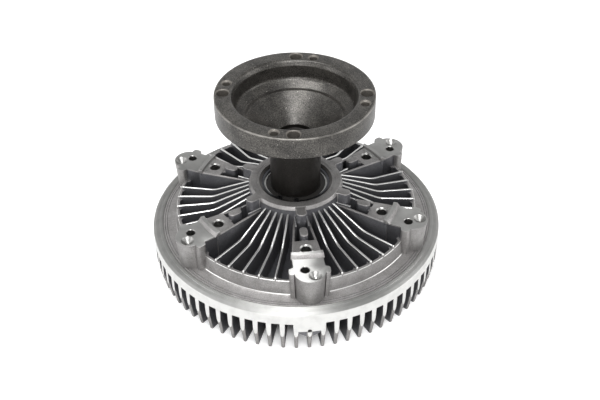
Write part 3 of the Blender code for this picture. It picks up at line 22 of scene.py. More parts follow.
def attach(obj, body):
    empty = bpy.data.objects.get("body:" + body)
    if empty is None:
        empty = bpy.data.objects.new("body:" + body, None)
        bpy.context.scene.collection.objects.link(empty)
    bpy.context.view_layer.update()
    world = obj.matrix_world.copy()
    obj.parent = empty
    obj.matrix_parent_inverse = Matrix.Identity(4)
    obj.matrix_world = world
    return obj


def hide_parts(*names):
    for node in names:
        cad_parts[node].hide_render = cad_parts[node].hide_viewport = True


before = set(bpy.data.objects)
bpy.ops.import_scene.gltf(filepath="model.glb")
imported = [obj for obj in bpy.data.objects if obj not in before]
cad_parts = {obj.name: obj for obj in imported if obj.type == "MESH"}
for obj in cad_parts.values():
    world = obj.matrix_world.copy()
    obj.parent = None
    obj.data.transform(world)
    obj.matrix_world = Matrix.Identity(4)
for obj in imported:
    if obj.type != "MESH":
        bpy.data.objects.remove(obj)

log = logging.getLogger("fan_clutch")

MM_PER_M = 1000.0
SMOOTH_ANGLE = math.radians(34)
FRONT = math.radians(-90)
SPOKE_STEP = math.tau / 6
SPOKES = [FRONT + SPOKE_STEP * index for index in range(6)]
FIN_PITCH = math.radians(7.5)
# How far a cutter reaches past the face that it cuts.
PAST = 0.001

Point = tuple[float, float]
Corner = tuple[float, float, float]
Inputs = Mapping[str | int, object] | Sequence[object]


class Body(Enum):
    """The frame's bodies that carry a new piece."""

    HOUSING = "body"
    HUB = "hub"


def turn_about_z(angle: float) -> Matrix:
    """Rotation about the clutch's axis."""
    return Matrix.Rotation(angle, 4, "Z")


def arc(centre: Point, radius: float, start: float, end: float, steps: int) -> list[Point]:
    """Points along an arc.

    Args:
        centre: Middle of the arc.
        radius: Its radius.
        start: First angle, in radians.
        end: Last angle, in radians.
        steps: Number of straight pieces.

    Returns:
        The points, both ends included.
    """
    angles = [start + (end - start) * step / steps for step in range(steps + 1)]
    return [(centre[0] + radius * math.cos(a), centre[1] + radius * math.sin(a)) for a in angles]


def rounded(corners: Sequence[Corner], steps: int) -> list[Point]:
    """Round the corners of a closed outline, each by its own radius.

    Args:
        corners: (x, y, radius) of each corner; a radius of 0 keeps it sharp.
        steps: Straight pieces in each rounding.

    Returns:
        The points of the rounded outline.
    """
    points: list[Point] = []
    for index, (x, y, radius) in enumerate(corners):
        if radius <= 0:
            points.append((x, y))
            continue
        here = Vector((x, y))
        back = Vector(corners[index - 1][:2]) - here
        ahead = Vector(corners[(index + 1) % len(corners)][:2]) - here
        reach = radius / math.tan(back.angle(ahead) / 2)
        reach = min(reach, 0.48 * back.length, 0.48 * ahead.length)
        start = here + back.normalized() * reach
        end = here + ahead.normalized() * reach
        for step in range(steps + 1):
            share = step / steps
            bend = start.lerp(here, share).lerp(here.lerp(end, share), share)
            points.append((bend.x, bend.y))
    return points


def crest_ring(half_top: float, half_foot: float, top: float, foot: float) -> list[Point]:
    """Cross-section of a cast rib: drafted sides and a round crest.

    Args:
        half_top: Half width just under the crest.
        half_foot: Half width at the foot.
        top: Height of the crest.
        foot: Height of the foot.

    Returns:
        (side, height) points, closed by the foot.
    """
    crest = arc((0.0, top - half_top), half_top, 0.0, math.pi, 6)
    return [(half_foot, foot), *crest, (-half_foot, foot)]


def linear(hex_code: str) -> tuple[float, float, float, float]:
    """Turn an sRGB hex colour into Blender's linear one, with alpha 1."""
    shares = [int(hex_code[place:place + 2], 16) / 255 for place in (1, 3, 5)]
    red, green, blue = [
        s / 12.92 if s <= 0.04045 else ((s + 0.055) / 1.055) ** 2.4 for s in shares]
    return red, green, blue, 1.0


def wire(node: bpy.types.Node, inputs: Inputs) -> None:
    """Give inputs of a node a value or a link.

    Args:
        node: The node.
        inputs: Values or output sockets, in order or by the input's name or place.
    """
    for key, value in inputs.items() if isinstance(inputs, Mapping) else enumerate(inputs):
        if isinstance(value, bpy.types.NodeSocket):
            node.id_data.links.new(value, node.inputs[key])
        else:
            node.inputs[key].default_value = value


def add_node(tree: bpy.types.NodeTree, kind: str, inputs: Inputs = (), out: str | int = 0,
             **settings: object) -> bpy.types.NodeSocket:
    """Add a node with its settings, values and links.

    Args:
        tree: Tree that takes the node.
        kind: Blender's name of the node type, without "ShaderNode".
        inputs: As wire takes them.
        out: Name or place of the output that is wanted.
        settings: Attributes of the node.

    Returns:
        That output.
    """
    node = tree.nodes.new("ShaderNode" + kind)
    for name, value in settings.items():
        setattr(node, name, value)
    wire(node, inputs)
    return node.outputs[out]


def across_rings(tree: bpy.types.NodeTree, place: bpy.types.NodeSocket) -> bpy.types.NodeSocket:
    """Distance from the clutch's axis plus height, which grows across any turned face."""
    axes = add_node(tree, "SeparateXYZ", (place,)).node.outputs
    flat = add_node(tree, "CombineXYZ", (axes["X"], axes["Y"]))
    radius = add_node(tree, "VectorMath", (flat,), "Value", operation="LENGTH")
    return add_node(tree, "Math", (radius, axes["Z"]), operation="ADD")


@dataclass(frozen=True)
class Finish:
    """A surface of one even colour; the finishes below add what the eye sees on the real one."""

    name: str
    colour: str
    roughness: float
    metallic: float = 1.0
    anisotropy: float = 0.0
    anisotropy_turn: float = 0.0
    specular: float = 0.5

    def material(self) -> bpy.types.Material:
        """Make the material with its shader and pattern."""
        material = bpy.data.materials.new(self.name)
        material.use_nodes = True
        material.diffuse_color = linear(self.colour)
        tree = material.node_tree
        shader = tree.nodes["Principled BSDF"]
        wire(shader, {
            "Base Color": linear(self.colour), "Roughness": self.roughness,
            "Metallic": self.metallic, "Specular IOR Level": self.specular,
            "Anisotropic": self.anisotropy, "Anisotropic Rotation": self.anisotropy_turn,
        })
        wire(shader, self.pattern(tree, add_node(tree, "TexCoord", out="Object")))
        return material

    def pattern(self, tree: bpy.types.NodeTree, place: bpy.types.NodeSocket) -> Inputs:
        """Make the pattern that drives some of the shader's inputs.

        Args:
            tree: Tree that takes the nodes.
            place: Place on the object.

        Returns:
            What goes into which input of the shader.
        """
        return {}


@dataclass(frozen=True)
class DieCastAluminium(Finish):
    """Aluminium as it left the mould and the tumbler: satin, with flow marks and fine grain."""

    stain: str = "#7d7c79"
    cloud_mm: float = 14.0
    grain_mm: float = 0.80
    grain_depth_mm: float = 0.055
    roughness_swing: float = 0.12

    def pattern(self, tree: bpy.types.NodeTree, place: bpy.types.NodeSocket) -> Inputs:
        """Cloud the colour and roughness, and raise a grain drawn coarser than the real 0.3 mm."""
        cloud = add_node(tree, "TexNoise", {
            "Vector": place, "Scale": MM_PER_M / self.cloud_mm, "Detail": 4.0, "Roughness": 0.62})
        grain = add_node(tree, "TexNoise", {
            "Vector": place, "Scale": MM_PER_M / self.grain_mm, "Detail": 2.0})
        both = add_node(tree, "Mix", {0: 0.5, 2: cloud, 3: grain})
        share = add_node(tree, "MapRange", (both, 0.38, 0.64))
        swing = self.roughness_swing / 2
        return {
            "Base Color": add_node(tree, "Mix", {
                0: share, 6: linear(self.colour), 7: linear(self.stain)}, 2, data_type="RGBA"),
            "Roughness": add_node(tree, "MapRange", (
                cloud, 0.3, 0.7, self.roughness - swing, self.roughness + swing)),
            "Normal": add_node(tree, "Bump", {
                "Height": grain, "Strength": 1.0, "Distance": self.grain_depth_mm / MM_PER_M}),
        }


@dataclass(frozen=True)
class TurnedAluminium(Finish):
    """Aluminium turned on a lathe: bright, with rings of tool marks that stretch each highlight."""

    ring_mm: float = 0.9
    ring_depth_mm: float = 0.006
    cloud_mm: float = 9.0
    stain: str = "#cbcbc9"

    def pattern(self, tree: bpy.types.NodeTree, place: bpy.types.NodeSocket) -> Inputs:
        """Cut rings about the axis, drawn coarser than a real feed of 0.2 mm so that they show."""
        rings = add_node(tree, "TexNoise", {
            "W": across_rings(tree, place), "Scale": MM_PER_M / self.ring_mm, "Detail": 3.0,
        }, noise_dimensions="1D")
        cloud = add_node(tree, "TexNoise", {
            "Vector": place, "Scale": MM_PER_M / self.cloud_mm, "Detail": 3.0})
        share = add_node(tree, "MapRange", (cloud, 0.45, 0.75))
        return {
            "Base Color": add_node(tree, "Mix", {
                0: share, 6: linear(self.colour), 7: linear(self.stain)}, 2, data_type="RGBA"),
            "Normal": add_node(tree, "Bump", {
                "Height": rings, "Strength": 1.0, "Distance": self.ring_depth_mm / MM_PER_M}),
            "Tangent": add_node(tree, "Tangent", direction_type="RADIAL", axis="Z"),
        }


@dataclass(frozen=True)
class PhosphatedIron(Finish):
    """Cast iron turned and phosphated: dark and grainy, with paler wear and a few pin holes."""

    wear: str = "#6a6762"
    speck: str = "#c4c0b8"
    edge_tone: str = "#8b8883"
    patch_mm: float = 16.0
    grain_mm: float = 0.95
    grain_depth_mm: float = 0.09
    speck_mm: float = 4.5
    # Radius plus height of the flange's outer top edge.
    edge: float = 0.2478

    def pattern(self, tree: bpy.types.NodeTree, place: bpy.types.NodeSocket) -> Inputs:
        """Patch the colour, raise the grain, scatter bright specks and lighten a broken band along
        the flange's outer top edge.
        """
        patch = add_node(tree, "TexNoise", {
            "Vector": place, "Scale": MM_PER_M / self.patch_mm, "Detail": 5.0, "Roughness": 0.65})
        grain = add_node(tree, "TexNoise", {
            "Vector": place, "Scale": MM_PER_M / self.grain_mm, "Detail": 3.0, "Roughness": 0.7})
        both = add_node(tree, "Mix", {0: 0.3, 2: grain, 3: patch})
        share = add_node(tree, "MapRange", (both, 0.43, 0.68))
        cells = add_node(tree, "TexVoronoi", {
            "Vector": place, "Scale": MM_PER_M / self.speck_mm, "Randomness": 1.0})
        dot = add_node(tree, "MapRange", (cells, 0.045, 0.075, 1.0, 0.0))
        # A lighter broken band along the flange's outer top edge.
        near_edge = add_node(tree, "MapRange", (
            across_rings(tree, place), self.edge - 0.0011, self.edge - 0.0002))
        broken = add_node(tree, "MapRange", (patch, 0.38, 0.62, 0.25))
        edge_band = add_node(tree, "Math", (near_edge, broken), operation="MULTIPLY")
        colour: object = linear(self.colour)
        for amount, other in ((share, self.wear), (dot, self.speck), (edge_band, self.edge_tone)):
            colour = add_node(
                tree, "Mix", {0: amount, 6: colour, 7: linear(other)}, 2, data_type="RGBA")
        return {"Base Color": colour, "Normal": add_node(tree, "Bump", {
            "Height": grain, "Strength": 1.0, "Distance": self.grain_depth_mm / MM_PER_M})}


@dataclass(frozen=True)
class RolledSteel(Finish):
    """Steel strip or bar with a thin zinc or oil film: grey, with faint streaks."""

    streak_mm: float = 3.0
    stain: str = "#85847f"
    swing: float = 0.08

    def pattern(self, tree: bpy.types.NodeTree, place: bpy.types.NodeSocket) -> Inputs:
        """Streak the colour and the roughness."""
        streak = add_node(tree, "TexNoise", {
            "Vector": place, "Scale": MM_PER_M / self.streak_mm, "Detail": 4.0})
        return {
            "Base Color": add_node(tree, "Mix", {
                0: streak, 6: linear(self.colour), 7: linear(self.stain)}, 2, data_type="RGBA"),
            "Roughness": add_node(tree, "MapRange", {
                "Value": streak, "To Min": self.roughness - self.swing,
                "To Max": self.roughness + self.swing}),
        }


@dataclass(frozen=True)
class MouldedRubber(Finish):
    """Moulded nitrile rubber or nylon: dark and dull, with a bloom of fine dust."""

    dust: str = "#34322f"
    dust_mm: float = 2.5

    def pattern(self, tree: bpy.types.NodeTree, place: bpy.types.NodeSocket) -> Inputs:
        """Dust the colour."""
        dust = add_node(tree, "TexNoise", {
            "Vector": place, "Scale": MM_PER_M / self.dust_mm, "Detail": 3.0})
        return {"Base Color": add_node(tree, "Mix", {
            0: dust, 6: linear(self.colour), 7: linear(self.dust)}, 2, data_type="RGBA")}


class Look(Enum):
    """Every finish of the clutch."""

    # Tumbled die casting: even satin grey that catches soft light on every rounded edge.
    CAST = DieCastAluminium(
        "cast_aluminium_tumbled", "#a09e9d", 0.47, metallic=0.75, stain="#7c7a79")
    # Sides and floors between the fins, and the other hollows: dark, as painted shade in these
    # recesses, and dull.
    CHANNEL_SHADE = DieCastAluminium(
        "cast_aluminium_painted_shade", "#747477", 0.48, metallic=0.85, stain="#5f5f63")
    # Lathe-turned rim: near white, with stretched highlights.
    TURNED = TurnedAluminium(
        "turned_aluminium", "#d8d8d6", 0.34, anisotropy=0.5, anisotropy_turn=0.25)
    # Drilled and tapped holes: bright metal, but rough inside.
    BORED = DieCastAluminium("drilled_aluminium", "#b2b2b0", 0.36, stain="#8b8a88")
    # Boss tops and the rim's upper side, faced with a dull cutter: pale satin grey.
    MILLED = TurnedAluminium(
        "faced_aluminium", "#c0c0be", 0.54, anisotropy=0.95, anisotropy_turn=0.25,
        stain="#b4b4b2", ring_depth_mm=0.003)
    # Fin crests and the wall's edges: near white, as a painted highlight along them.
    CREST_HIGHLIGHT = DieCastAluminium(
        "cast_aluminium_painted_highlight", "#ececea", 0.30, stain="#dededc", grain_depth_mm=0.002,
        roughness_swing=0.04)
    # Mouth of the sleeve: bored, then darkened as painted shade inside the bore.
    BORE_SHADE = DieCastAluminium(
        "bored_aluminium_painted_shade", "#4c4a48", 0.34, metallic=0.85, stain="#353230",
        grain_depth_mm=0.01)
    # Phosphated iron: dark brown grey with a dull crystalline grain.
    IRON = PhosphatedIron("phosphated_cast_iron", "#252321", 0.34, metallic=0.60, specular=0.85)
    # The same iron on the shaft, darkened nearly to black as painted shade under the flange.
    SHADED_SHAFT_IRON = PhosphatedIron(
        "cast_iron_painted_shade", "#211f1d", 0.36, metallic=0.60, wear="#33302d", grain_depth_mm=0.03,
        speck="#4a4742")
    # Drilled holes of the flange: the phosphate is cut through, paler and duller, and paler still as
    # painted light on the hole walls.
    DRILLED_IRON = PhosphatedIron(
        "drilled_cast_iron", "#64605b", 0.50, metallic=0.5, wear="#7b7771")
    # Ground bearing steel: clean and mirror-like.
    GROUND_STEEL = RolledSteel("ground_bearing_steel", "#b4b5b6", 0.20)
    # Blued spring steel of the retaining ring: dark with sharp glints.
    SPRING_STEEL = RolledSteel("blued_spring_steel", "#5b5c60", 0.28, stain="#404145")
    # Zinc-plated steel: pale grey and slightly cloudy.
    PLATED_STEEL = RolledSteel("zinc_plated_steel", "#a7a8a6", 0.36)
    # Rolled bimetal strip: warm grey, satin.
    BIMETAL = RolledSteel("bimetal_strip", "#b09a7a", 0.33, stain="#8d7b62")
    # Nitrile rubber: near black and dull.
    RUBBER = MouldedRubber("nitrile_rubber", "#1b1a1a", 0.62, metallic=0.0)
    # Glass-filled nylon of the ball cages: dark amber brown.
    NYLON = MouldedRubber("moulded_nylon", "#4a3d2b", 0.48, metallic=0.0, dust="#5b4c37")


# The material slots of a painted piece, in order.
CASTING = (Look.CAST, Look.CHANNEL_SHADE, Look.TURNED, Look.BORED, Look.MILLED, Look.CREST_HIGHLIGHT, Look.BORE_SHADE)
HUB_SKINS = (Look.IRON, Look.SHADED_SHAFT_IRON, Look.DRILLED_IRON)


@cache
def material_of(look: Look) -> bpy.types.Material:
    """The material of a finish, made when it is first asked for."""
    return look.value.material()


class Solid:
    """A mesh in the making, to which shapes are added one by one."""

    def __init__(self) -> None:
        """Start empty."""
        self.bm = bmesh.new()

    def turn(self, outline: Sequence[Point], sides: int, closed: bool = True) -> None:
        """Turn an outline about the axis.

        Args:
            outline: (radius, height) points.
            sides: Number of flat sides round the axis.
            closed: Whether the last point joins the first.
        """
        rings = []
        for side in range(sides):
            angle = math.tau * side / sides
            cos, sin = math.cos(angle), math.sin(angle)
            rings.append([self.bm.verts.new((r * cos, r * sin, z)) for r, z in outline])
        count = len(outline)
        for side in range(sides):
            near, far = rings[side], rings[(side + 1) % sides]
            for index in range(count if closed else count - 1):
                after = (index + 1) % count
                self.bm.faces.new((near[index], far[index], far[after], near[after]))
        bmesh.ops.remove_doubles(self.bm, verts=self.bm.verts[:], dist=1e-7)

    def loft(self, rings: Sequence[Sequence[Vector]]) -> None:
        """Skin a row of equal closed rings and cap both ends."""
        made = [[self.bm.verts.new(point) for point in ring] for ring in rings]
        count = len(made[0])
        for near, far in zip(made, made[1:]):
            for index in range(count):
                after = (index + 1) % count
                self.bm.faces.new((near[index], near[after], far[after], far[index]))
        self.bm.faces.new(list(reversed(made[0])))
        self.bm.faces.new(made[-1])

    def prism(self, outline: Sequence[Point], low: float, high: float,
              foot: Sequence[Point] | None = None, place: Matrix = Matrix.Identity(4)) -> None:
        """Raise a flat outline between two heights.

        Args:
            outline: Points of the top, counter-clockwise.
            low: Height of the foot.
            high: Height of the top.
            foot: Points of the foot where they differ from the top's.
            place: Where to put the prism.
        """
        self.loft([
            [place @ Vector((x, y, z)) for x, y in points]
            for z, points in ((low, foot or outline), (high, outline))
        ])

    def rod(self, radii: Sequence[Point], sides: int, place: Matrix) -> None:
        """Add a round bar.

        Args:
            radii: (radius, height) steps along the bar, upwards.
            sides: Number of flat sides.
            place: Where the bar's own axis stands.
        """
        rings = []
        for radius, height in radii:
            ring = arc((0.0, 0.0), radius, 0.0, math.tau * (sides - 1) / sides, sides - 1)
            rings.append([place @ Vector((x, y, height)) for x, y in ring])
        self.loft(rings)

    def face_out(self) -> None:
        """Make every face look outwards."""
        bmesh.ops.recalc_face_normals(self.bm, faces=self.bm.faces[:])

    def round_edges(self, width: float, segments: int, over: float) -> None:
        """Round every edge that is sharper than an angle.

        Args:
            width: Width of the rounding.
            segments: Facets across it.
            over: Smallest angle between faces, in degrees.
        """
        self.face_out()
        sharp = [
            edge for edge in self.bm.edges
            if len(edge.link_faces) == 2 and edge.calc_face_angle(0.0) > math.radians(over)
        ]
        bmesh.ops.bevel(
            self.bm, geom=sharp, offset=width, segments=segments, profile=0.5,
            affect="EDGES", clamp_overlap=True)

    def add_copies(self, other: Solid, places: Sequence[Matrix]) -> None:
        """Add another solid once for each place."""
        mesh = other.to_mesh("copy")
        for place in places:
            turned = mesh.copy()
            turned.transform(place)
            self.bm.from_mesh(turned)
            bpy.data.meshes.remove(turned)
        bpy.data.meshes.remove(mesh)

    def paint(self, looks: Sequence[Look], rule: Callable[[Vector, Vector], Look]) -> None:
        """Give each face the look that a rule names from its middle and its normal."""
        self.bm.normal_update()
        for face in self.bm.faces:
            face.material_index = looks.index(rule(face.calc_center_median(), face.normal))

    def to_mesh(self, name: str) -> bpy.types.Mesh:
        """Write the solid into a new mesh."""
        mesh = bpy.data.meshes.new(name)
        self.bm.to_mesh(mesh)
        return mesh

    def cut(self, cutter: Solid) -> None:
        """Cut another solid out of this one."""
        target = bpy.data.objects.new("target", self.to_mesh("target"))
        tool = bpy.data.objects.new("tool", cutter.to_mesh("tool"))
        for obj in (target, tool):
            bpy.context.scene.collection.objects.link(obj)
        boolean = target.modifiers.new("cut", "BOOLEAN")
        boolean.solver = "EXACT"
        boolean.operation = "DIFFERENCE"
        boolean.object = tool
        graph = bpy.context.evaluated_depsgraph_get()
        result = bpy.data.meshes.new_from_object(target.evaluated_get(graph))
        self.bm.clear()
        self.bm.from_mesh(result)
        spares = [result, target.data, tool.data]
        for obj in (target, tool):
            bpy.data.objects.remove(obj, do_unlink=True)
        for mesh in spares:
            bpy.data.meshes.remove(mesh)

    def finish(self, name: str, looks: Sequence[Look] = ()) -> bpy.types.Object:
        """Turn the solid into a smooth-shaded object of the scene.

        Args:
            name: Name of the new object.
            looks: Its material slots.

        Returns:
            The object.
        """
        mesh = self.to_mesh(name)
        self.bm.free()
        for look in looks:
            mesh.materials.append(material_of(look))
        obj = bpy.data.objects.new(name, mesh)
        bpy.context.scene.collection.objects.link(obj)
        mesh.shade_smooth()
        mesh.set_sharp_from_angle(angle=SMOOTH_ANGLE)
        log.info("%s: %d faces", name, len(mesh.polygons))
        return obj


@dataclass
class RearHousing:
    """Die-cast rear housing: ribbed disc, bearing sleeve and six bosses that carry the fan."""

    sides: int = 240
    floor_z: float = 0.0450
    root: float = 0.0008
    chamber_top_z: float = 0.0360
    rim_top_z: float = 0.04475
    ledge_z: float = 0.0383
    spigot_radius: float = 0.1167
    rim_radius: float = 0.1273
    lip_radius: float = 0.1252
    lip_line_z: float = 0.0436
    lip_low_z: float = 0.04165
    groove_radii: Point = (0.1236, 0.1215)
    groove_width: float = 0.0004
    shoulder_radius: float = 0.1130
    shoulder_rise: float = 0.0015
    wall_radius: float = 0.1113
    wall_thickness: float = 0.0027
    wall_top_z: float = 0.06025
    sleeve_foot_z: float = 0.0354
    sleeve_top_z: float = 0.0850
    sleeve_top_radius: float = 0.0429
    sleeve_foot_radius: float = 0.0455
    bore_radius: float = 0.0313
    seat_lip_radius: float = 0.0273
    seat_lip_z: float = 0.0444
    clip_low_z: float = 0.0807
    clip_high_z: float = 0.0827
    clip_radius: float = 0.0330
    mouth_radius: float = 0.0336
    mouth_step: float = 0.0007
    fins_per_sector: int = 5
    fin_top_half: float = 0.00095
    fin_foot_half: float = 0.00155
    fin_inner_radius: float = 0.0440
    fin_inner_z: float = 0.0782
    fin_knee_radius: float = 0.0780
    fin_outer_z: float = 0.0635
    fin_knee_round: float = 0.0240
    gusset: float = 0.0024
    spoke_wall_half: float = 0.0011
    spoke_wall_foot_half: float = 0.0017
    boss_z: float = 0.0735
    boss_half: float = 0.0135
    boss_reach: float = 0.1272
    boss_draft: float = 0.0023
    ear_half: float = 0.0178
    ear_radius: float = 0.1125
    ear_length: float = 0.0070
    pad_radius: float = 0.0745
    register_radius: float = 0.0922
    register_width: float = 0.0035
    register_height: float = 0.0030
    screw_hole_radius: float = 0.0039
    screw_hole_chamfer: float = 0.0005
    screw_hole_place: Point = (0.1114, -0.0038)
    screw_hole_depth: float = 0.0180
    dimple_radius: float = 0.0058
    dimple_core: float = 0.0024
    dimple_depth: float = 0.0036
    dimple_point: float = 0.0008
    dimple_place: Point = (0.1193, 0.0040)
    pad_hole_radius: float = 0.0045
    pad_hole_chamfer: float = 0.0012
    pad_hole_place: Point = (0.0849, 0.0)
    pad_hole_depth: float = 0.0160
    knob_length: float = 0.0125
    knob_width: float = 0.0070
    knob_middle: float = 0.0672
    knob_z: float = 0.0780
    knob_spread: float = 1.12
    nub_reach: float = 0.0540
    nub_half: float = 0.0047
    riblet_side: float = 0.0056
    riblet_inner: float = 0.0410
    riblet_outer: float = 0.0570
    riblet_z: float = 0.0750
    riblet_half: float = 0.0008
    riblet_foot_half: float = 0.0010
    edge: float = 0.0005
    register_edge: float = 0.00035
    knob_edge: float = 0.0009
    nub_edge: float = 0.0007
    # Upward part of a face's normal from which it counts as level.
    level: float = 0.95
    # How near to a line or under it a face takes that line's look.
    line_reach: float = 0.0012
    highlight_depth: float = 0.0007
    near: float = 0.001
    bore_shade_reach: float = 0.0022
    hole_reach: float = 0.0004

    def build(self) -> bpy.types.Object:
        """Build the housing, dress it and put it in the CAD node's place."""
        casting = Solid()
        self._add_disc(casting)
        self._add_sleeve(casting)
        for angle in self._fin_angles():
            self._add_fin(casting, angle)
        self._add_gussets(casting)
        self._add_pips(casting)
        places = [turn_about_z(angle) for angle in SPOKES]
        for make in (self._boss, self._register, self._knob, self._nub, self._riblets):
            casting.add_copies(make(), places)
        for angle in self._wall_angles():
            self._add_spoke_wall(casting, angle)
        casting.face_out()
        casting.paint(CASTING, self._look)
        obj = casting.finish("rear_housing_casting", CASTING)
        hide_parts("rear_housing")
        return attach(obj, Body.HOUSING.value)

    def _look(self, middle: Vector, normal: Vector) -> Look:
        """Name the look of a face from where it is and which way it looks."""
        radius, z, up = math.hypot(middle.x, middle.y), middle.z, normal.z
        sloping = up < self.level
        # Painted shade inside the sleeve's mouth and bore.
        if radius < self.bore_radius + self.bore_shade_reach and z > self.chamber_top_z:
            return Look.BORE_SHADE
        if radius < self.nub_reach and z > self.sleeve_top_z - self.line_reach:
            return Look.CAST
        if self._in_hole(middle):
            return Look.BORED
        if z > self.boss_z - 0.0002 and radius > self.register_radius - self.near:
            on_slope = z > self.boss_z + 0.0004 and up < 0.9
            return Look.CAST if on_slope else Look.MILLED
        # Painted highlight along the annular wall's top edge and its rounded foot.
        wall_edge = self.wall_top_z - self.highlight_depth
        on_wall = abs(radius - self.wall_radius) < self.line_reach and z > wall_edge
        at_foot = abs(radius - self.shoulder_radius) < 0.0015 and z < self.wall_top_z
        if on_wall and sloping and up > 0.2 or at_foot and 0.45 < up < 0.80:
            return Look.CREST_HIGHLIGHT
        # Painted shade in the shoulder's fine turned grooves.
        on_groove = any(abs(radius - line) < self.groove_width for line in self.groove_radii)
        if on_groove and sloping and z < self.rim_top_z + self.shoulder_rise:
            return Look.CHANNEL_SHADE
        inside = self.sleeve_top_radius < radius < self.wall_radius - self.wall_thickness + 0.0004
        if not inside or z < self.floor_z - self.near:
            return Look.CAST
        crest = self._crest_height(radius)
        # Painted highlight along each fin's crest.
        if abs(z - crest) < self.line_reach and up > 0.35:
            return Look.CREST_HIGHLIGHT
        # Painted shade on the fins' sides below the crest and on the floors between them.
        if z < crest - self.highlight_depth and sloping or z < self.floor_z + self.near:
            return Look.CHANNEL_SHADE
        return Look.CAST

    def _in_hole(self, middle: Vector) -> bool:
        """Whether a face lies in one of the boss holes."""
        for angle in SPOKES:
            local = turn_about_z(-angle) @ middle
            for place, radius, depth in (
                (self.screw_hole_place, self.screw_hole_radius, self.screw_hole_depth),
                (self.dimple_place, self.dimple_radius, self.dimple_depth),
                (self.pad_hole_place, self.pad_hole_radius + self.pad_hole_chamfer,
                 self.pad_hole_depth),
            ):
                away = math.hypot(local.x - place[0], local.y - place[1])
                below = local.z - self.boss_z
                if away < radius + self.hole_reach and -depth - self.near < below < -0.0002:
                    return True
        return False

    def _crest_height(self, radius: float) -> float:
        """Height of the fin crests at a radius."""
        if radius > self.fin_knee_radius:
            return self.fin_outer_z
        share = (radius - self.fin_inner_radius) / (self.fin_knee_radius - self.fin_inner_radius)
        return self.fin_inner_z + (self.fin_outer_z - self.fin_inner_z) * share

    def _add_disc(self, casting: Solid) -> None:
        """Turn the rim, shoulder, annular wall and chamber roof."""
        inner = self.sleeve_top_radius - 0.004
        wall_in = self.wall_radius - self.wall_thickness
        casting.turn(rounded([
            (inner, self.chamber_top_z, 0.0),
            (self.spigot_radius, self.chamber_top_z, 0.0004),
            (self.spigot_radius, self.ledge_z, 0.0),
            (self.rim_radius, self.ledge_z, 0.0003),
            (self.rim_radius, self.lip_low_z, 0.0),
            (self.lip_radius, self.lip_line_z, 0.0),
            (self.lip_radius, self.rim_top_z, 0.0003),
            *(corner for radius in self.groove_radii for corner in self._groove(radius)),
            (self.shoulder_radius, self.rim_top_z + self.shoulder_rise, 0.0018),
            (self.wall_radius, self.wall_top_z, 0.0006),
            (wall_in, self.wall_top_z, 0.0006),
            (wall_in - 0.0006, self.floor_z, 0.0025),
            (inner, self.floor_z, 0.0),
        ], 4), self.sides)

    def _groove(self, radius: float) -> list[Corner]:
        """Corners of a fine turned groove in the shoulder."""
        share = (self.lip_radius - radius) / (self.lip_radius - self.shoulder_radius)
        top = self.rim_top_z + self.shoulder_rise * share
        half = self.groove_width / 2
        return [(radius + half, top, 0.0), (radius, top - self.groove_width, 0.0),
                (radius - half, top, 0.0)]

    def _add_sleeve(self, casting: Solid) -> None:
        """Turn the bearing sleeve with its clip groove and stepped mouth."""
        top, step = self.sleeve_top_z, self.sleeve_top_z - self.mouth_step
        casting.turn(rounded([
            (self.seat_lip_radius, self.sleeve_foot_z, 0.0003),
            (self.sleeve_foot_radius, self.sleeve_foot_z, 0.0),
            (self.sleeve_foot_radius, self.floor_z + 0.001, 0.0020),
            (self.sleeve_top_radius + 0.0004, top - 0.0030, 0.0012),
            (self.sleeve_top_radius - 0.0012, top, 0.0006),
            (self.mouth_radius + 0.0030, top, 0.0003),
            (self.mouth_radius + 0.0024, step, 0.0003),
            (self.mouth_radius + 0.0002, step, 0.0003),
            (self.bore_radius, top - 0.0020, 0.0002),
            (self.bore_radius, self.clip_high_z, 0.0),
            (self.clip_radius, self.clip_high_z, 0.0),
            (self.clip_radius, self.clip_low_z, 0.0),
            (self.bore_radius, self.clip_low_z, 0.0),
            (self.bore_radius, self.seat_lip_z, 0.0),
            (self.seat_lip_radius, self.seat_lip_z, 0.0003),
        ], 3), 180)

    def _fin_angles(self) -> list[float]:
        """Directions of the 30 fins."""
        middle = (self.fins_per_sector - 1) / 2
        return [
            spoke + SPOKE_STEP / 2 + (index - middle) * FIN_PITCH
            for spoke in SPOKES for index in range(self.fins_per_sector)
        ]

    def _wall_angles(self) -> list[float]:
        """Directions of the 12 tall walls beside the spokes."""
        return [spoke + side * FIN_PITCH for spoke in SPOKES for side in (-1, 1)]

    def _add_fin(self, casting: Solid, angle: float) -> None:
        """Loft one fin along its crest line, with a soft knee."""
        foot = self.floor_z - self.root
        rings = []
        for radius, top in rounded([
            (self.sleeve_top_radius - 0.0010, self.fin_inner_z + 0.0003, 0.0),
            (self.fin_knee_radius, self.fin_outer_z, self.fin_knee_round),
            (self.wall_radius - 0.0007, self.fin_outer_z - 0.0002, 0.0),
        ], 8):
            depth = (self.fin_inner_z - top) / (self.fin_inner_z - foot)
            half_top = self.fin_top_half + (self.fin_foot_half - self.fin_top_half) * depth * 0.6
            section = crest_ring(half_top, self.fin_foot_half, top, foot)
            rings.append([turn_about_z(angle) @ Vector((radius, *point)) for point in section])
        casting.loft(rings)

    def _add_spoke_wall(self, casting: Solid, angle: float) -> None:
        """Loft one tall wall beside a spoke."""
        section = crest_ring(self.spoke_wall_half, self.spoke_wall_foot_half,
                             self.boss_z - 0.0002, self.floor_z - self.root)
        ends = (self.sleeve_top_radius - 0.001, self.register_radius + self.register_width)
        casting.loft([
            [turn_about_z(angle) @ Vector((radius, *point)) for point in section]
            for radius in ends
        ])

    def _add_pips(self, casting: Solid) -> None:
        """Round off each fin's end where it stands above the annular wall."""
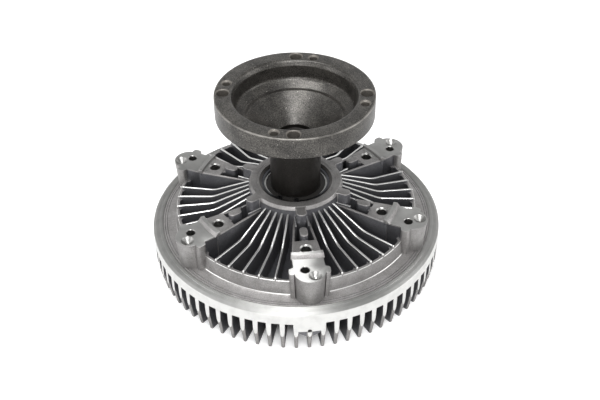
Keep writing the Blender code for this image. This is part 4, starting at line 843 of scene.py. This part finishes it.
        # Radius and height of each step of a pip, upwards.
        steps = [
            (0.001728, self.wall_top_z - 0.0020), (0.001512, self.wall_top_z + 0.0004),
            (0.001224, self.wall_top_z + 0.0018), (0.000864, self.fin_outer_z - 0.0004),
            (0.000432, self.fin_outer_z - 0.0001),
        ]
        end = Matrix.Translation((self.wall_radius - 0.0014, 0.0, 0.0))
        for angle in self._fin_angles():
            casting.rod(steps, sides=14, place=turn_about_z(angle) @ end)

    def _add_gussets(self, casting: Solid) -> None:
        """Fill the upright corners between fins and annular wall."""
        wall_in = self.wall_radius - self.wall_thickness - 0.0003
        half, size = self.fin_foot_half * 0.8, self.gusset
        for angle in self._fin_angles() + self._wall_angles():
            for side in (-1, 1):
                far, near = side * (half + size), side * (half - 0.001)
                bow = arc((wall_in - size, far), size, 0.0, -side * math.pi / 2, 5)
                casting.prism(
                    [(wall_in + 0.001, far), *bow, (wall_in - size, near), (wall_in + 0.001, near)],
                    self.floor_z - 0.0005, self.wall_top_z - 0.0003, place=turn_about_z(angle))

    def _boss_outline(self, draft: float) -> list[Point]:
        """Plan of the boss: pad between the walls, neck, ears and round nose."""
        half = self.boss_half - draft / 2
        ear = self.ear_half - draft / 2
        reach = self.boss_reach - draft
        neck = self.register_radius - 0.0005
        ear_low = self.ear_radius - self.ear_length / 2
        ear_high = self.ear_radius + self.ear_length / 2
        right = rounded([
            (self.pad_radius, self.pad_radius * math.tan(FIN_PITCH), 0.0),
            (neck, self.register_radius * math.tan(FIN_PITCH), 0.0),
            (neck, half, 0.0),
            (ear_low - 0.0010, half, 0.0020),
            (ear_low, ear, 0.0030),
            (ear_high, ear, 0.0036),
            (ear_high + 0.0008, half + 0.0006, 0.0010),
            (reach - half, 0.0, 0.0),
        ], 5)[:-1]
        nose = arc((reach - half, 0.0), half, math.radians(82), math.radians(-82), 28)
        left = [(x, -y) for x, y in reversed(right)]
        return list(reversed(right + nose + left))

    def _boss(self) -> Solid:
        """One pad and boss column with its three holes."""
        boss, holes = Solid(), Solid()
        low = self.floor_z - self.root
        # The second ring keeps the shading of the rounded edge off the column's long sides.
        boss.loft([
            [Vector((x, y, z)) for x, y in
             self._boss_outline(self.boss_draft * (self.boss_z - z) / (self.boss_z - low))]
            for z in (low, self.boss_z - self.edge * 3, self.boss_z)
        ])
        spread = (self.dimple_radius - self.dimple_core) / self.dimple_depth
        for place, sides, steps in (
            (self.screw_hole_place, 32, (
                (self.screw_hole_radius, -self.screw_hole_depth),
                (self.screw_hole_radius, -self.screw_hole_chamfer),
                (self.screw_hole_radius + self.screw_hole_chamfer + PAST, PAST))),
            (self.dimple_place, 36, (
                (self.dimple_core * 0.4, -self.dimple_depth - self.dimple_point),
                (self.dimple_core, -self.dimple_depth),
                (self.dimple_radius + PAST * spread, PAST))),
            (self.pad_hole_place, 36, (
                (self.pad_hole_radius, -self.pad_hole_depth),
                (self.pad_hole_radius, -self.pad_hole_chamfer),
                (self.pad_hole_radius + self.pad_hole_chamfer + PAST, PAST))),
        ):
            holes.rod([(radius, self.boss_z + z) for radius, z in steps], sides,
                      Matrix.Translation((*place, 0.0)))
        boss.cut(holes)
        boss.round_edges(self.edge, segments=2, over=50.0)
        return boss

    def _register(self) -> Solid:
        """Raised turned shoulder across the boss that centres the fan."""
        ridge = Solid()
        reach = math.asin((self.boss_half + 0.0002) / self.register_radius)
        crest_radius = self.register_radius + self.register_width
        inner, crest, foot = (
            arc((0.0, 0.0), radius, start, -start, 12) for radius, start in (
                (self.register_radius, -reach), (crest_radius, reach),
                (crest_radius + self.register_height, reach)))
        ridge.prism(list(reversed(inner + crest)), self.boss_z - 0.0005,
                    self.boss_z + self.register_height, list(reversed(inner + foot)))
        ridge.round_edges(self.register_edge, segments=2, over=30.0)
        return ridge

    def _knob(self) -> Solid:
        """Oblong knob with a lower neck that ties it to the pad."""
        knob, neck = Solid(), Solid()
        half = self.knob_width / 2
        straight = self.knob_length / 2 - half
        outline = [
            point for side in (1, -1) for point in arc(
                (self.knob_middle + side * straight, 0.0), half,
                -side * math.pi / 2, (2 - side) * math.pi / 2, 10)
        ]
        foot = [(self.knob_middle + (x - self.knob_middle) * self.knob_spread, y * self.knob_spread)
                for x, y in outline]
        low = self.floor_z - 0.0005
        knob.prism(outline, low, self.knob_z, foot)
        knob.round_edges(self.knob_edge, segments=3, over=60.0)
        side = half * 0.72
        pad_half = self.pad_radius * math.tan(FIN_PITCH) * 0.8
        right = [(self.knob_middle + straight, -side), (self.pad_radius - 0.0015, -side),
                 (self.pad_radius + 0.002, -pad_half)]
        neck.prism(right + [(x, -y) for x, y in reversed(right)], low, self.boss_z - 0.0006)
        neck.round_edges(self.nub_edge, segments=2, over=40.0)
        knob.add_copies(neck, [Matrix.Identity(4)])
        return knob

    def _nub(self) -> Solid:
        """Round nub that grows out of the sleeve, level with its top."""
        nub = Solid()
        root = self.sleeve_top_radius - 0.0030
        right = [(root, -self.nub_half - 0.0010),
                 (self.sleeve_top_radius + 0.0012, -self.nub_half * 0.92)]
        nose = arc((self.nub_reach - self.nub_half, 0.0), self.nub_half,
                   -math.radians(80), math.radians(80), 14)
        outline = right + nose + [(x, -y) for x, y in reversed(right)]
        foot = [(root + (x - root) * 1.05, y * 1.10) for x, y in outline]
        nub.prism(outline, self.floor_z - 0.0006, self.sleeve_top_z - 0.0002, foot)
        nub.round_edges(self.nub_edge, segments=3, over=60.0)
        return nub

    def _riblets(self) -> Solid:
        """Two short upright ribs beside each nub."""
        ribs = Solid()
        section = crest_ring(self.riblet_half, self.riblet_foot_half, self.riblet_z,
                             self.floor_z - 0.0005)
        for side in (-1, 1):
            ribs.loft([
                [Vector((radius, side * self.riblet_side + across, z)) for across, z in section]
                for radius in (self.riblet_inner, self.riblet_outer)
            ])
        return ribs


@dataclass
class FrontCover:
    """Die-cast front cover: turned rim and 72 cooling fins under the oil chamber."""

    sides: int = 288
    turn: float = math.radians(-1.05)
    fin_count: int = 72
    radius: float = 0.1349
    rim_top_z: float = 0.04475
    root_z: float = 0.0325
    skin: float = 0.0045
    ledge_z: float = 0.0380
    lip_inner: float = 0.1255
    lip_overhang: float = 0.0021
    lip_thickness: float = 0.0010
    rebate_radius: float = 0.1199
    chamber_radius: float = 0.1170
    chamber_floor_z: float = 0.0240
    seat_depth: float = 0.0021
    reservoir_radius: float = 0.0460
    seat_radius: float = 0.0503
    centre_under_z: float = 0.0110
    centre_thickness: float = 0.0040
    boss_radius: float = 0.0100
    boss_under_z: float = 0.0090
    bore_radius: float = 0.0038
    fin_root_half: float = 0.0024
    fin_tip_half: float = 0.0015
    fin_nose: float = 0.0006
    fin_machined_z: float = 0.0170
    fin_draft: float = 0.0030
    # Height of each level slice of a fin and how far its outer corners are softened there.
    fin_slices: Sequence[Point] = (
        (0.0240, 0.00015), (0.0205, 0.0003), (0.0188, 0.0006), (0.0177, 0.0010), (0.0171, 0.0014),
        (0.0165, 0.0012), (0.0130, 0.0010), (0.0080, 0.0010), (0.0040, 0.0009), (0.0016, 0.0009),
        (0.0009, 0.0008), (0.0004, 0.0006), (0.0001, 0.0004), (0.0, 0.0003))
    long_start: float = 0.0540
    short_start: float = 0.0880
    lead_in: float = 0.0070
    lead_in_z: float = 0.0205
    tip_round: float = 0.0009
    tab_half_angle: float = math.radians(5.0)
    tab_low_z: float = 0.0235
    tab_depth: float = 0.0090
    keel_z: float = 0.0152
    keel_end: float = 0.0022
    keel_setback: float = 0.0006
    tab_hole_radius: float = 0.0018
    tab_hole_z: float = 0.0243
    # Reach of the painted shade in the gap on either side of the tab's own fin.
    tab_gap: float = 0.0095
    # How near to a turned face's radius a face counts as turned.
    lip_reach: float = 0.0006

    def build(self) -> bpy.types.Object:
        """Build the cover, dress it and put it in the CAD node's place."""
        casting = Solid()
        self._add_rim(casting)
        self._add_pan(casting)
        front = self.turn + FRONT
        tab_inner = self.radius - self.tab_depth
        for index in range(self.fin_count):
            start = self.short_start if index % 2 else self.long_start
            end = self.radius if index else tab_inner + 0.001
            self._add_fin(casting, front + index * math.tau / self.fin_count, start,
                          self.root_z + 0.0015, end)
        self._add_fin(casting, front, tab_inner - self.lead_in,
                      self.tab_hole_z - self.tab_hole_radius, self.radius)
        self._add_tab(casting)
        casting.face_out()
        casting.paint(CASTING, self._look)
        obj = casting.finish("front_cover_casting", CASTING)
        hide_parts("front_cover")
        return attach(obj, Body.HOUSING.value)

    def _look(self, middle: Vector, normal: Vector) -> Look:
        """Name the look of a face: turned on the rim and outer fin faces, painted shade under the pan
        and beside the tab's fin, cast elsewhere.
        """
        radius, z = math.hypot(middle.x, middle.y), middle.z
        outward = (normal.x * middle.x + normal.y * middle.y) / max(radius, 1e-6)
        off_tab = math.atan2(middle.y, middle.x) - FRONT - self.turn
        off_tab = abs((off_tab + math.pi) % math.tau - math.pi)
        beside_fin = self.fin_root_half < radius * off_tab < self.tab_gap
        # Painted shade in the gaps on either side of the tab's own fin, under the tab.
        if beside_fin and radius > self.radius - self.tab_depth and z < self.tab_low_z - 0.0002:
            return Look.CHANNEL_SHADE
        if radius > self.lip_inner - self.lip_reach and z > self.root_z + 0.001:
            return Look.MILLED if normal.z > 0.6 else Look.TURNED
        if radius > self.radius - self.lip_reach and outward > 0.8 and z > self.fin_machined_z:
            return Look.TURNED
        # Painted shade on the fins and the pan's underside, inside the outer 5 mm.
        if self.seat_radius < radius < self.radius - 0.0050:
            return Look.CHANNEL_SHADE
        return Look.CAST

    def _add_rim(self, casting: Solid) -> None:
        """Turn the rim with its rolled lip, soft outer edge and fin roots."""
        top, lip = self.rim_top_z, self.lip_inner
        pocket = lip + self.lip_overhang
        lip_low = top - self.lip_thickness
        casting.turn(rounded([
            (self.rebate_radius, self.root_z - self.skin, 0.0),
            (self.rebate_radius, self.ledge_z, 0.0),
            (pocket, self.ledge_z, 0.0),
            (pocket, lip_low - self.lip_overhang, 0.0),
            (lip, lip_low, 0.0),
            (lip, top - 0.0003, 0.0002),
            (lip + 0.0012, top, 0.0004),
            (lip + 0.0030, top - 0.0001, 0.0003),
            (lip + 0.0034, top - 0.0006, 0.0002),
            (self.radius - 0.0028, top - 0.0007, 0.0015),
            (self.radius - 0.0002, top - 0.0024, 0.0014),
            (self.radius, top - 0.0060, 0.0010),
            (self.radius, self.root_z, 0.0),
        ], 5), self.sides)

    def _add_pan(self, casting: Solid) -> None:
        """Turn the chamber wall, floor, reservoir and valve boss."""
        wall = self.chamber_radius + self.skin
        wall_top = self.ledge_z - 0.003
        floor, under = self.chamber_floor_z, self.chamber_floor_z - self.skin
        seat = floor - self.seat_depth
        centre = self.seat_radius + self.skin / 2
        centre_top = self.centre_under_z + self.centre_thickness
        casting.turn(rounded([
            (self.bore_radius, centre_top, 0.0),
            (self.reservoir_radius, centre_top, 0.001),
            (self.reservoir_radius, seat, 0.0),
            (self.seat_radius, seat, 0.0),
            (self.seat_radius, floor, 0.0),
            (self.chamber_radius, floor, 0.0),
            (self.chamber_radius, wall_top, 0.0),
            (wall, wall_top, 0.0),
            (wall - self.skin / 2, under, 0.002),
            (centre, under, 0.003),
            (centre, self.centre_under_z, 0.003),
            (self.boss_radius, self.centre_under_z, 0.001),
            (self.boss_radius, self.boss_under_z, 0.0008),
            (self.bore_radius, self.boss_under_z, 0.0004),
        ], 4), 144)

    def _add_fin(self, casting: Solid, angle: float, start: float, high: float, end: float) -> None:
        """Loft one fin downwards in level slices, with a round tip and soft cast edges.

        Args:
            casting: Solid that takes the fin.
            angle: Direction of the fin.
            start: Radius at which it starts under the pan.
            high: Height of its root.
            end: Radius past which it doesn't reach.
        """
        full = self.radius * math.cos(math.pi / self.sides) - 0.00005
        rings = []
        for z, soft in ((high, self.fin_slices[0][1]), *self.fin_slices):
            if z > high:
                continue
            short = max(0.0, self.tip_round - z)
            loss = self.tip_round - math.sqrt(self.tip_round ** 2 - short ** 2)
            share = (self.root_z - z) / self.root_z
            half = self.fin_root_half + (self.fin_tip_half - self.fin_root_half) * share
            half -= loss * 0.8
            near = start + self.lead_in * max(0.0, 1.0 - z / self.lead_in_z)
            draft = self.fin_draft * max(0.0, (self.fin_machined_z - z) / self.fin_machined_z)
            far = min(full - draft - loss, end)
            right = [(near + self.fin_nose, -half), (far - soft, -half), (far, soft - half)]
            plan = [*right, *((x, -y) for x, y in reversed(right)),
                    (near, half * 0.4), (near, -half * 0.4)]
            rings.append([turn_about_z(angle) @ Vector((x, y, z)) for x, y in plan])
        casting.loft(rings)

    def _add_tab(self, casting: Solid) -> None:
        """Add the turned tab, the cast keel under it and their drilling."""
        outer = self.radius * math.cos(math.pi / self.sides)
        inner = outer - self.tab_depth
        top, low = self.root_z + 0.002, self.tab_low_z
        block_rings, keel_rings = [], []
        for step in range(-4, 5):
            share = step / 4
            y = outer * math.tan(self.tab_half_angle) * share
            face = math.sqrt(outer ** 2 - y ** 2)
            block_rings.append([
                Vector((x, y, z)) for x, z in (
                    (inner, top), (face, top), (face, low), (inner, low))])
            face -= self.keel_setback
            tip = self.keel_z + (low - self.keel_end - self.keel_z) * abs(share)
            keel_rings.append([
                Vector((x, y * 0.90, z)) for x, z in (
                    (inner, low + 0.001), (face, low + 0.001), (face, low - 0.0001),
                    (face - 0.0005, tip), (inner, tip))])
        drill = Solid()
        height = Matrix.Translation((0.0, 0.0, self.tab_hole_z))
        steps = [(self.tab_hole_radius, inner + 0.002), (self.tab_hole_radius, self.radius + 0.002)]
        drill.rod(steps, sides=28, place=height @ Matrix.Rotation(math.pi / 2, 4, "Y"))
        drill.face_out()
        for rings in (block_rings, keel_rings):
            piece = Solid()
            piece.loft(rings)
            piece.face_out()
            piece.cut(drill)
            casting.add_copies(piece, [turn_about_z(FRONT + self.turn)])


@dataclass
class DriveHub:
    """Phosphated iron hub: bolted flange with its bowl, conical throat and shaft."""

    sides: int = 224
    top_z: float = 0.1780
    flange_radius: float = 0.0702
    flange_low_z: float = 0.1584
    edge: float = 0.0007
    mouth_radius: float = 0.0555
    mouth_depth: float = 0.0047
    bowl_radius: float = 0.0534
    bowl_wall_depth: float = 0.0175
    ledge_depth: float = 0.0233
    ledge_outer: float = 0.0450
    ledge_inner: float = 0.0418
    recess_radius: float = 0.0173
    cone_depth: float = 0.0445
    recess_depth: float = 0.0040
    wall: float = 0.0090
    throat_radius: float = 0.0563
    shaft_radius: float = 0.0230
    shoulder_z: float = 0.0810
    seat_radius: float = 0.0187
    seat_low_z: float = 0.0444
    rotor_seat_radius: float = 0.0160
    foot_z: float = 0.0293
    turn: float = math.radians(-6.8)
    bolt_count: int = 4
    bolt_radius: float = 0.0055
    bolt_circle: float = 0.0626
    bolt_chamfer: Point = (0.0009, 0.0019)
    thread_radius: float = 0.0036
    thread_circle: float = 0.0624
    thread_depth: float = 0.0150
    thread_point: float = 0.0012
    thread_chamfer: Point = (0.0014, 0.0024)
    thread_offset: float = math.radians(-14.95)
    screw_radius: float = 0.0053
    screw_depth: float = 0.0180
    bolt_reach: float = 0.0007
    thread_reach: float = 0.0010

    def build(self) -> bpy.types.Object:
        """Build the hub, dress it and put it in the CAD node's place."""
        hub = Solid()
        hub.turn(self._outline(), self.sides, closed=False)
        hub.face_out()
        hub.cut(self._holes())
        hub.paint(HUB_SKINS, self._look)
        obj = hub.finish("drive_hub_turning", HUB_SKINS)
        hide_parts("drive_hub")
        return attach(obj, Body.HUB.value)

    def _bolt_turns(self) -> list[float]:
        """Directions of the bolt holes."""
        return [FRONT + self.turn + math.tau * index / self.bolt_count
                for index in range(self.bolt_count)]

    def _look(self, middle: Vector, normal: Vector) -> Look:
        """Name the look of a face: painted shade on the shaft under the bowl, paler drilled iron with
        painted light in the holes, plain elsewhere.
        """
        # Holes take the drilled iron: paler as bare metal and as painted light on their walls.
        for turn in self._bolt_turns():
            for angle, circle, radius in (
                (turn, self.bolt_circle, self.bolt_radius + self.bolt_reach),
                (turn + self.thread_offset, self.thread_circle,
                 self.thread_radius + self.thread_reach),
            ):
                away = math.hypot(middle.x - circle * math.cos(angle),
                                  middle.y - circle * math.sin(angle))
                if away < radius and middle.z < self.top_z - 0.0001:
                    return Look.DRILLED_IRON
        # Painted shade on the shaft under the flange and bowl.
        under_bowl = middle.z < self.top_z - self.cone_depth
        on_shaft = math.hypot(middle.x, middle.y) < self.shaft_radius + 0.0005
        return Look.SHADED_SHAFT_IRON if on_shaft and under_bowl else Look.IRON

    def _outline(self) -> list[Point]:
        """Section of the hub with its fillets, from the bowl's floor round to the foot."""
        top = self.top_z
        cone_low = top - self.cone_depth
        recess = cone_low - self.recess_depth
        ledge = top - self.ledge_depth
        run, fall = self.ledge_inner - self.recess_radius, ledge - cone_low
        slope = math.hypot(run, fall)
        under = (self.ledge_inner + self.wall * fall / slope, ledge - self.wall * run / slope)
        return rounded([
            (0.0, recess, 0.0),
            (self.recess_radius, recess, 0.0010),
            (self.recess_radius, cone_low, 0.0010),
            (self.ledge_inner, ledge, 0.0022),
            (self.ledge_outer, ledge, 0.0030),
            (self.bowl_radius, top - self.bowl_wall_depth, 0.0050),
            (self.bowl_radius, top - self.mouth_depth, 0.0030),
            (self.mouth_radius, top, 0.0032),
            (self.flange_radius, top, self.edge),
            (self.flange_radius, self.flange_low_z, self.edge),
            (self.throat_radius, self.flange_low_z, 0.0015),
            (self.throat_radius - self.wall / 4, ledge - self.wall * 3 / 4, 0.0040),
            (*under, 0.0030),
            (self.shaft_radius, under[1] - (under[0] - self.shaft_radius) * fall / run, 0.0060),
            (self.shaft_radius, self.shoulder_z, 0.0005),
            (self.seat_radius, self.shoulder_z, 0.0),
            (self.seat_radius, self.seat_low_z, 0.0),
            (self.rotor_seat_radius, self.seat_low_z, 0.0),
            (self.rotor_seat_radius, self.foot_z, 0.0004),
            (0.0, self.foot_z, 0.0),
        ], 6)

    def _holes(self) -> Solid:
        """Cutters for the bolt holes, the threaded holes and the rotor screw."""
        cutters = Solid()
        top, bottom = self.top_z, self.top_z - self.thread_depth
        for turn in self._bolt_turns():
            for angle, circle, sides, steps in (
                (turn, self.bolt_circle, 40, (
                    (self.bolt_radius, self.flange_low_z - PAST),
                    (self.bolt_radius, top - self.bolt_chamfer[0]),
                    (self.bolt_radius + self.bolt_chamfer[1], top + PAST))),
                (turn + self.thread_offset, self.thread_circle, 32, (
                    (self.thread_radius * 0.3, bottom - self.thread_point),
                    (self.thread_radius, bottom),
                    (self.thread_radius, top - self.thread_chamfer[0]),
                    (self.thread_radius + self.thread_chamfer[1], top + PAST))),
            ):
                place = turn_about_z(angle) @ Matrix.Translation((circle, 0.0, 0.0))
                cutters.rod(steps, sides, place)
        screw = [(self.screw_radius, self.foot_z + z) for z in (-PAST, self.screw_depth)]
        cutters.rod(screw, sides=24, place=Matrix.Identity(4))
        return cutters


@dataclass
class RetainingRing:
    """Spring-steel ring in the sleeve's groove, with a drilled lug at each end."""

    outer: float = 0.0327
    width: float = 0.0034
    low_z: float = 0.0810
    high_z: float = 0.0824
    gap: float = math.radians(24)
    turn: float = math.radians(-111.5)
    lug_reach: float = 0.0034
    lug_angle: float = math.radians(9)
    lug_hole: float = 0.0010
    lug_hole_inset: float = 0.0022

    def build(self) -> bpy.types.Object:
        """Build the ring, dress it and put it in the CAD node's place."""
        inner = self.outer - self.width
        lug = inner - self.lug_reach
        start, end = self.gap / 2, math.tau - self.gap / 2
        lug_start, lug_end = start + self.lug_angle, end - self.lug_angle
        outline = [
            point for radius, first, last, steps in (
                (self.outer, start, end, 150), (lug, end, lug_end, 4),
                (inner, lug_end, lug_start, 150), (lug, lug_start, start, 4))
            for point in arc((0.0, 0.0), radius, first, last, steps)
        ]
        ring, holes = Solid(), Solid()
        ring.prism(outline, self.low_z, self.high_z)
        ring.face_out()
        for angle in (start + self.lug_angle / 2, end - self.lug_angle / 2):
            place = turn_about_z(angle) @ Matrix.Translation((lug + self.lug_hole_inset, 0.0, 0.0))
            steps = [(self.lug_hole, z) for z in (self.low_z - PAST, self.high_z + PAST)]
            holes.rod(steps, sides=16, place=place)
        ring.cut(holes)
        ring.bm.transform(turn_about_z(self.turn))
        obj = ring.finish("retaining_ring", [Look.SPRING_STEEL])
        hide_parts("bearing_retaining_ring")
        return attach(obj, Body.HOUSING.value)


@dataclass
class InnerWorks:
    """Bearing, rotor, reservoir and valve pieces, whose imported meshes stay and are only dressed."""

    # The first part of a name that a node's name holds decides its look.
    looks: Sequence[tuple[str, Look]] = (
        ("seal", Look.RUBBER), ("cage", Look.NYLON), ("bearing_", Look.GROUND_STEEL),
        ("rotor_disc", Look.TURNED), ("wiper", Look.TURNED), ("front_cover", Look.TURNED),
        ("bimetal_coil", Look.BIMETAL), ("drive_hub", Look.IRON), ("rear_housing", Look.CAST))
    other: Look = Look.PLATED_STEEL

    def dress(self) -> None:
        """Give every node of the frame its finish."""
        for name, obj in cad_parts.items():
            look = next((look for part, look in self.looks if part in name), self.other)
            obj.data.materials.clear()
            obj.data.materials.append(material_of(look))
            log.info("%s: dressed in %s", name, look.value.name)


@dataclass(frozen=True)
class Lamp:
    """A rectangular soft lamp that points at the clutch."""

    name: str
    place: tuple[float, float, float]
    size: Point
    watts: float

    def hang(self, target: Vector) -> None:
        """Hang the lamp, turned to its target."""
        data = bpy.data.lights.new(self.name, "AREA")
        data.shape = "RECTANGLE"
        data.size, data.size_y = self.size
        data.energy = self.watts
        lamp = bpy.data.objects.new(self.name, data)
        bpy.context.scene.collection.objects.link(lamp)
        lamp.location = self.place
        lamp.rotation_euler = (target - Vector(self.place)).to_track_quat("-Z", "Y").to_euler()


@dataclass
class Studio:
    """Pale floor, white surroundings, soft lamps and the camera."""

    target: Vector = field(default_factory=lambda: Vector((0.0, 0.0, 0.0735)))
    distance: float = 0.8781
    azimuth: float = math.radians(-95.61)
    elevation: float = math.radians(37.97)
    roll: float = math.radians(-0.60)
    sensor_mm: float = 36.0
    lens_mm: float = 56.59
    # Shift of the picture's middle, as shares of its width of 600 pixels.
    shift: Point = (4.23 / 600, -11.71 / 600)
    floor_size: float = 8.0
    rim_reach: float = 0.107
    rim_fade: float = 1.13
    near_glow: float = 0.35
    shadow_reach: float = 0.45
    shadow_fade: float = 3.0
    horizon_level: float = 1.0
    ceiling_level: float = 0.40
    room_level: float = 0.50
    # Heights of the look's direction between which the horizon fades into the ceiling.
    ceiling_fade: Point = (0.25, 0.85)
    lamps: Sequence[Lamp] = (
        Lamp("key_softbox", (0.02, -0.80, 1.35), (0.5, 0.5), 10.0),
        Lamp("overhead_softbox", (-0.25, -0.05, 1.40), (0.6, 0.6), 9.0),
        Lamp("front_softbox", (-0.35, -1.30, 0.80), (0.9, 0.8), 6.5),
        Lamp("fill_left", (-1.35, -0.25, 0.55), (0.8, 0.9), 4.0),
        Lamp("fill_right", (1.30, -0.25, 0.55), (0.8, 0.9), 4.0),
    )

    def build(self) -> None:
        """Set up the camera, the floor and the light."""
        self._add_camera()
        self._add_floor()
        self._add_world()
        for lamp in self.lamps:
            lamp.hang(self.target)
        bpy.context.scene.view_settings.view_transform = "Standard"

    def _add_camera(self) -> None:
        """Stand the camera where the photograph was taken from."""
        data = bpy.data.cameras.new("camera")
        data.sensor_width = self.sensor_mm
        data.lens = self.lens_mm
        data.shift_x, data.shift_y = self.shift
        camera = bpy.data.objects.new("camera", data)
        bpy.context.scene.collection.objects.link(camera)
        back = Vector((
            math.cos(self.azimuth) * math.cos(self.elevation),
            math.sin(self.azimuth) * math.cos(self.elevation),
            math.sin(self.elevation),
        ))
        look = (-back).to_track_quat("-Z", "Y").to_matrix().to_4x4()
        camera.matrix_world = (
            Matrix.Translation(self.target + back * self.distance) @ look
            @ Matrix.Rotation(self.roll, 4, "Z"))
        bpy.context.scene.camera = camera

    def _add_floor(self) -> None:
        """Lay a pale floor that keeps the object's shadow and shows white to the camera."""
        floor = Solid()
        half = self.floor_size / 2
        floor.bm.faces.new([
            floor.bm.verts.new((x * half, y * half, 0.0))
            for x, y in ((-1, -1), (1, -1), (1, 1), (-1, 1))])
        material = bpy.data.materials.new("pale_floor")
        material.use_nodes = True
        tree = material.node_tree
        rays = add_node(tree, "LightPath").node.outputs
        mirrored = add_node(tree, "Math", (rays["Is Glossy Ray"], rays["Is Transmission Ray"]),
                            operation="MAXIMUM")
        seen = add_node(tree, "Math", (rays["Is Camera Ray"], mirrored), operation="MAXIMUM")
        place = add_node(tree, "TexCoord", out="Object")
        away = add_node(tree, "VectorMath", (place,), "Value", operation="LENGTH")
        near = add_node(tree, "MapRange", (
            away, self.rim_reach, self.rim_reach * self.rim_fade, 0.0, self.near_glow))
        far = add_node(tree, "MapRange", (
            away, self.shadow_reach, self.shadow_reach * self.shadow_fade,
            0.0, 1.0 - self.near_glow))
        direct = add_node(tree, "Math", (near, rays["Is Camera Ray"]), operation="MULTIPLY")
        wire(tree.nodes["Principled BSDF"], {
            "Base Color": linear("#f2f2f2"), "Roughness": 0.9, "Specular IOR Level": 0.1,
            "Emission Color": linear("#ffffff"),
            "Emission Strength": add_node(
                tree, "Math", (far, seen, direct), operation="MULTIPLY_ADD"),
        })
        obj = floor.finish("floor")
        obj.data.materials.append(material)

    def _add_world(self) -> None:
        """Surround the scene with white that metal sees low down, under a calmer ceiling."""
        world = bpy.data.worlds.new("white_studio")
        bpy.context.scene.world = world
        world.use_nodes = True
        tree = world.node_tree
        rays = add_node(tree, "LightPath").node.outputs
        way = add_node(tree, "TexCoord", out="Generated")
        height = add_node(tree, "SeparateXYZ", (way,), "Z")
        ceiling = add_node(tree, "MapRange", (
            height, *self.ceiling_fade, self.horizon_level, self.ceiling_level),
            interpolation_type="SMOOTHSTEP")
        shiny = add_node(tree, "Mix", {0: rays["Is Glossy Ray"], 2: self.room_level, 3: ceiling})
        clear = add_node(tree, "Math", (rays["Is Camera Ray"], rays["Is Transmission Ray"]),
                         operation="MAXIMUM")
        wire(tree.nodes["Background"], {
            "Color": linear("#ffffff"),
            "Strength": add_node(tree, "Mix", {0: clear, 2: shiny, 3: 1.0}),
        })


def main() -> None:
    """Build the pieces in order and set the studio."""
    logging.basicConfig(level=logging.INFO, format="%(name)s: %(message)s")
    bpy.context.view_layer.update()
    InnerWorks().dress()
    for piece in (RearHousing(), FrontCover(), DriveHub(), RetainingRing(), Studio()):
        piece.build()


if __name__ == "__main__":
    main()
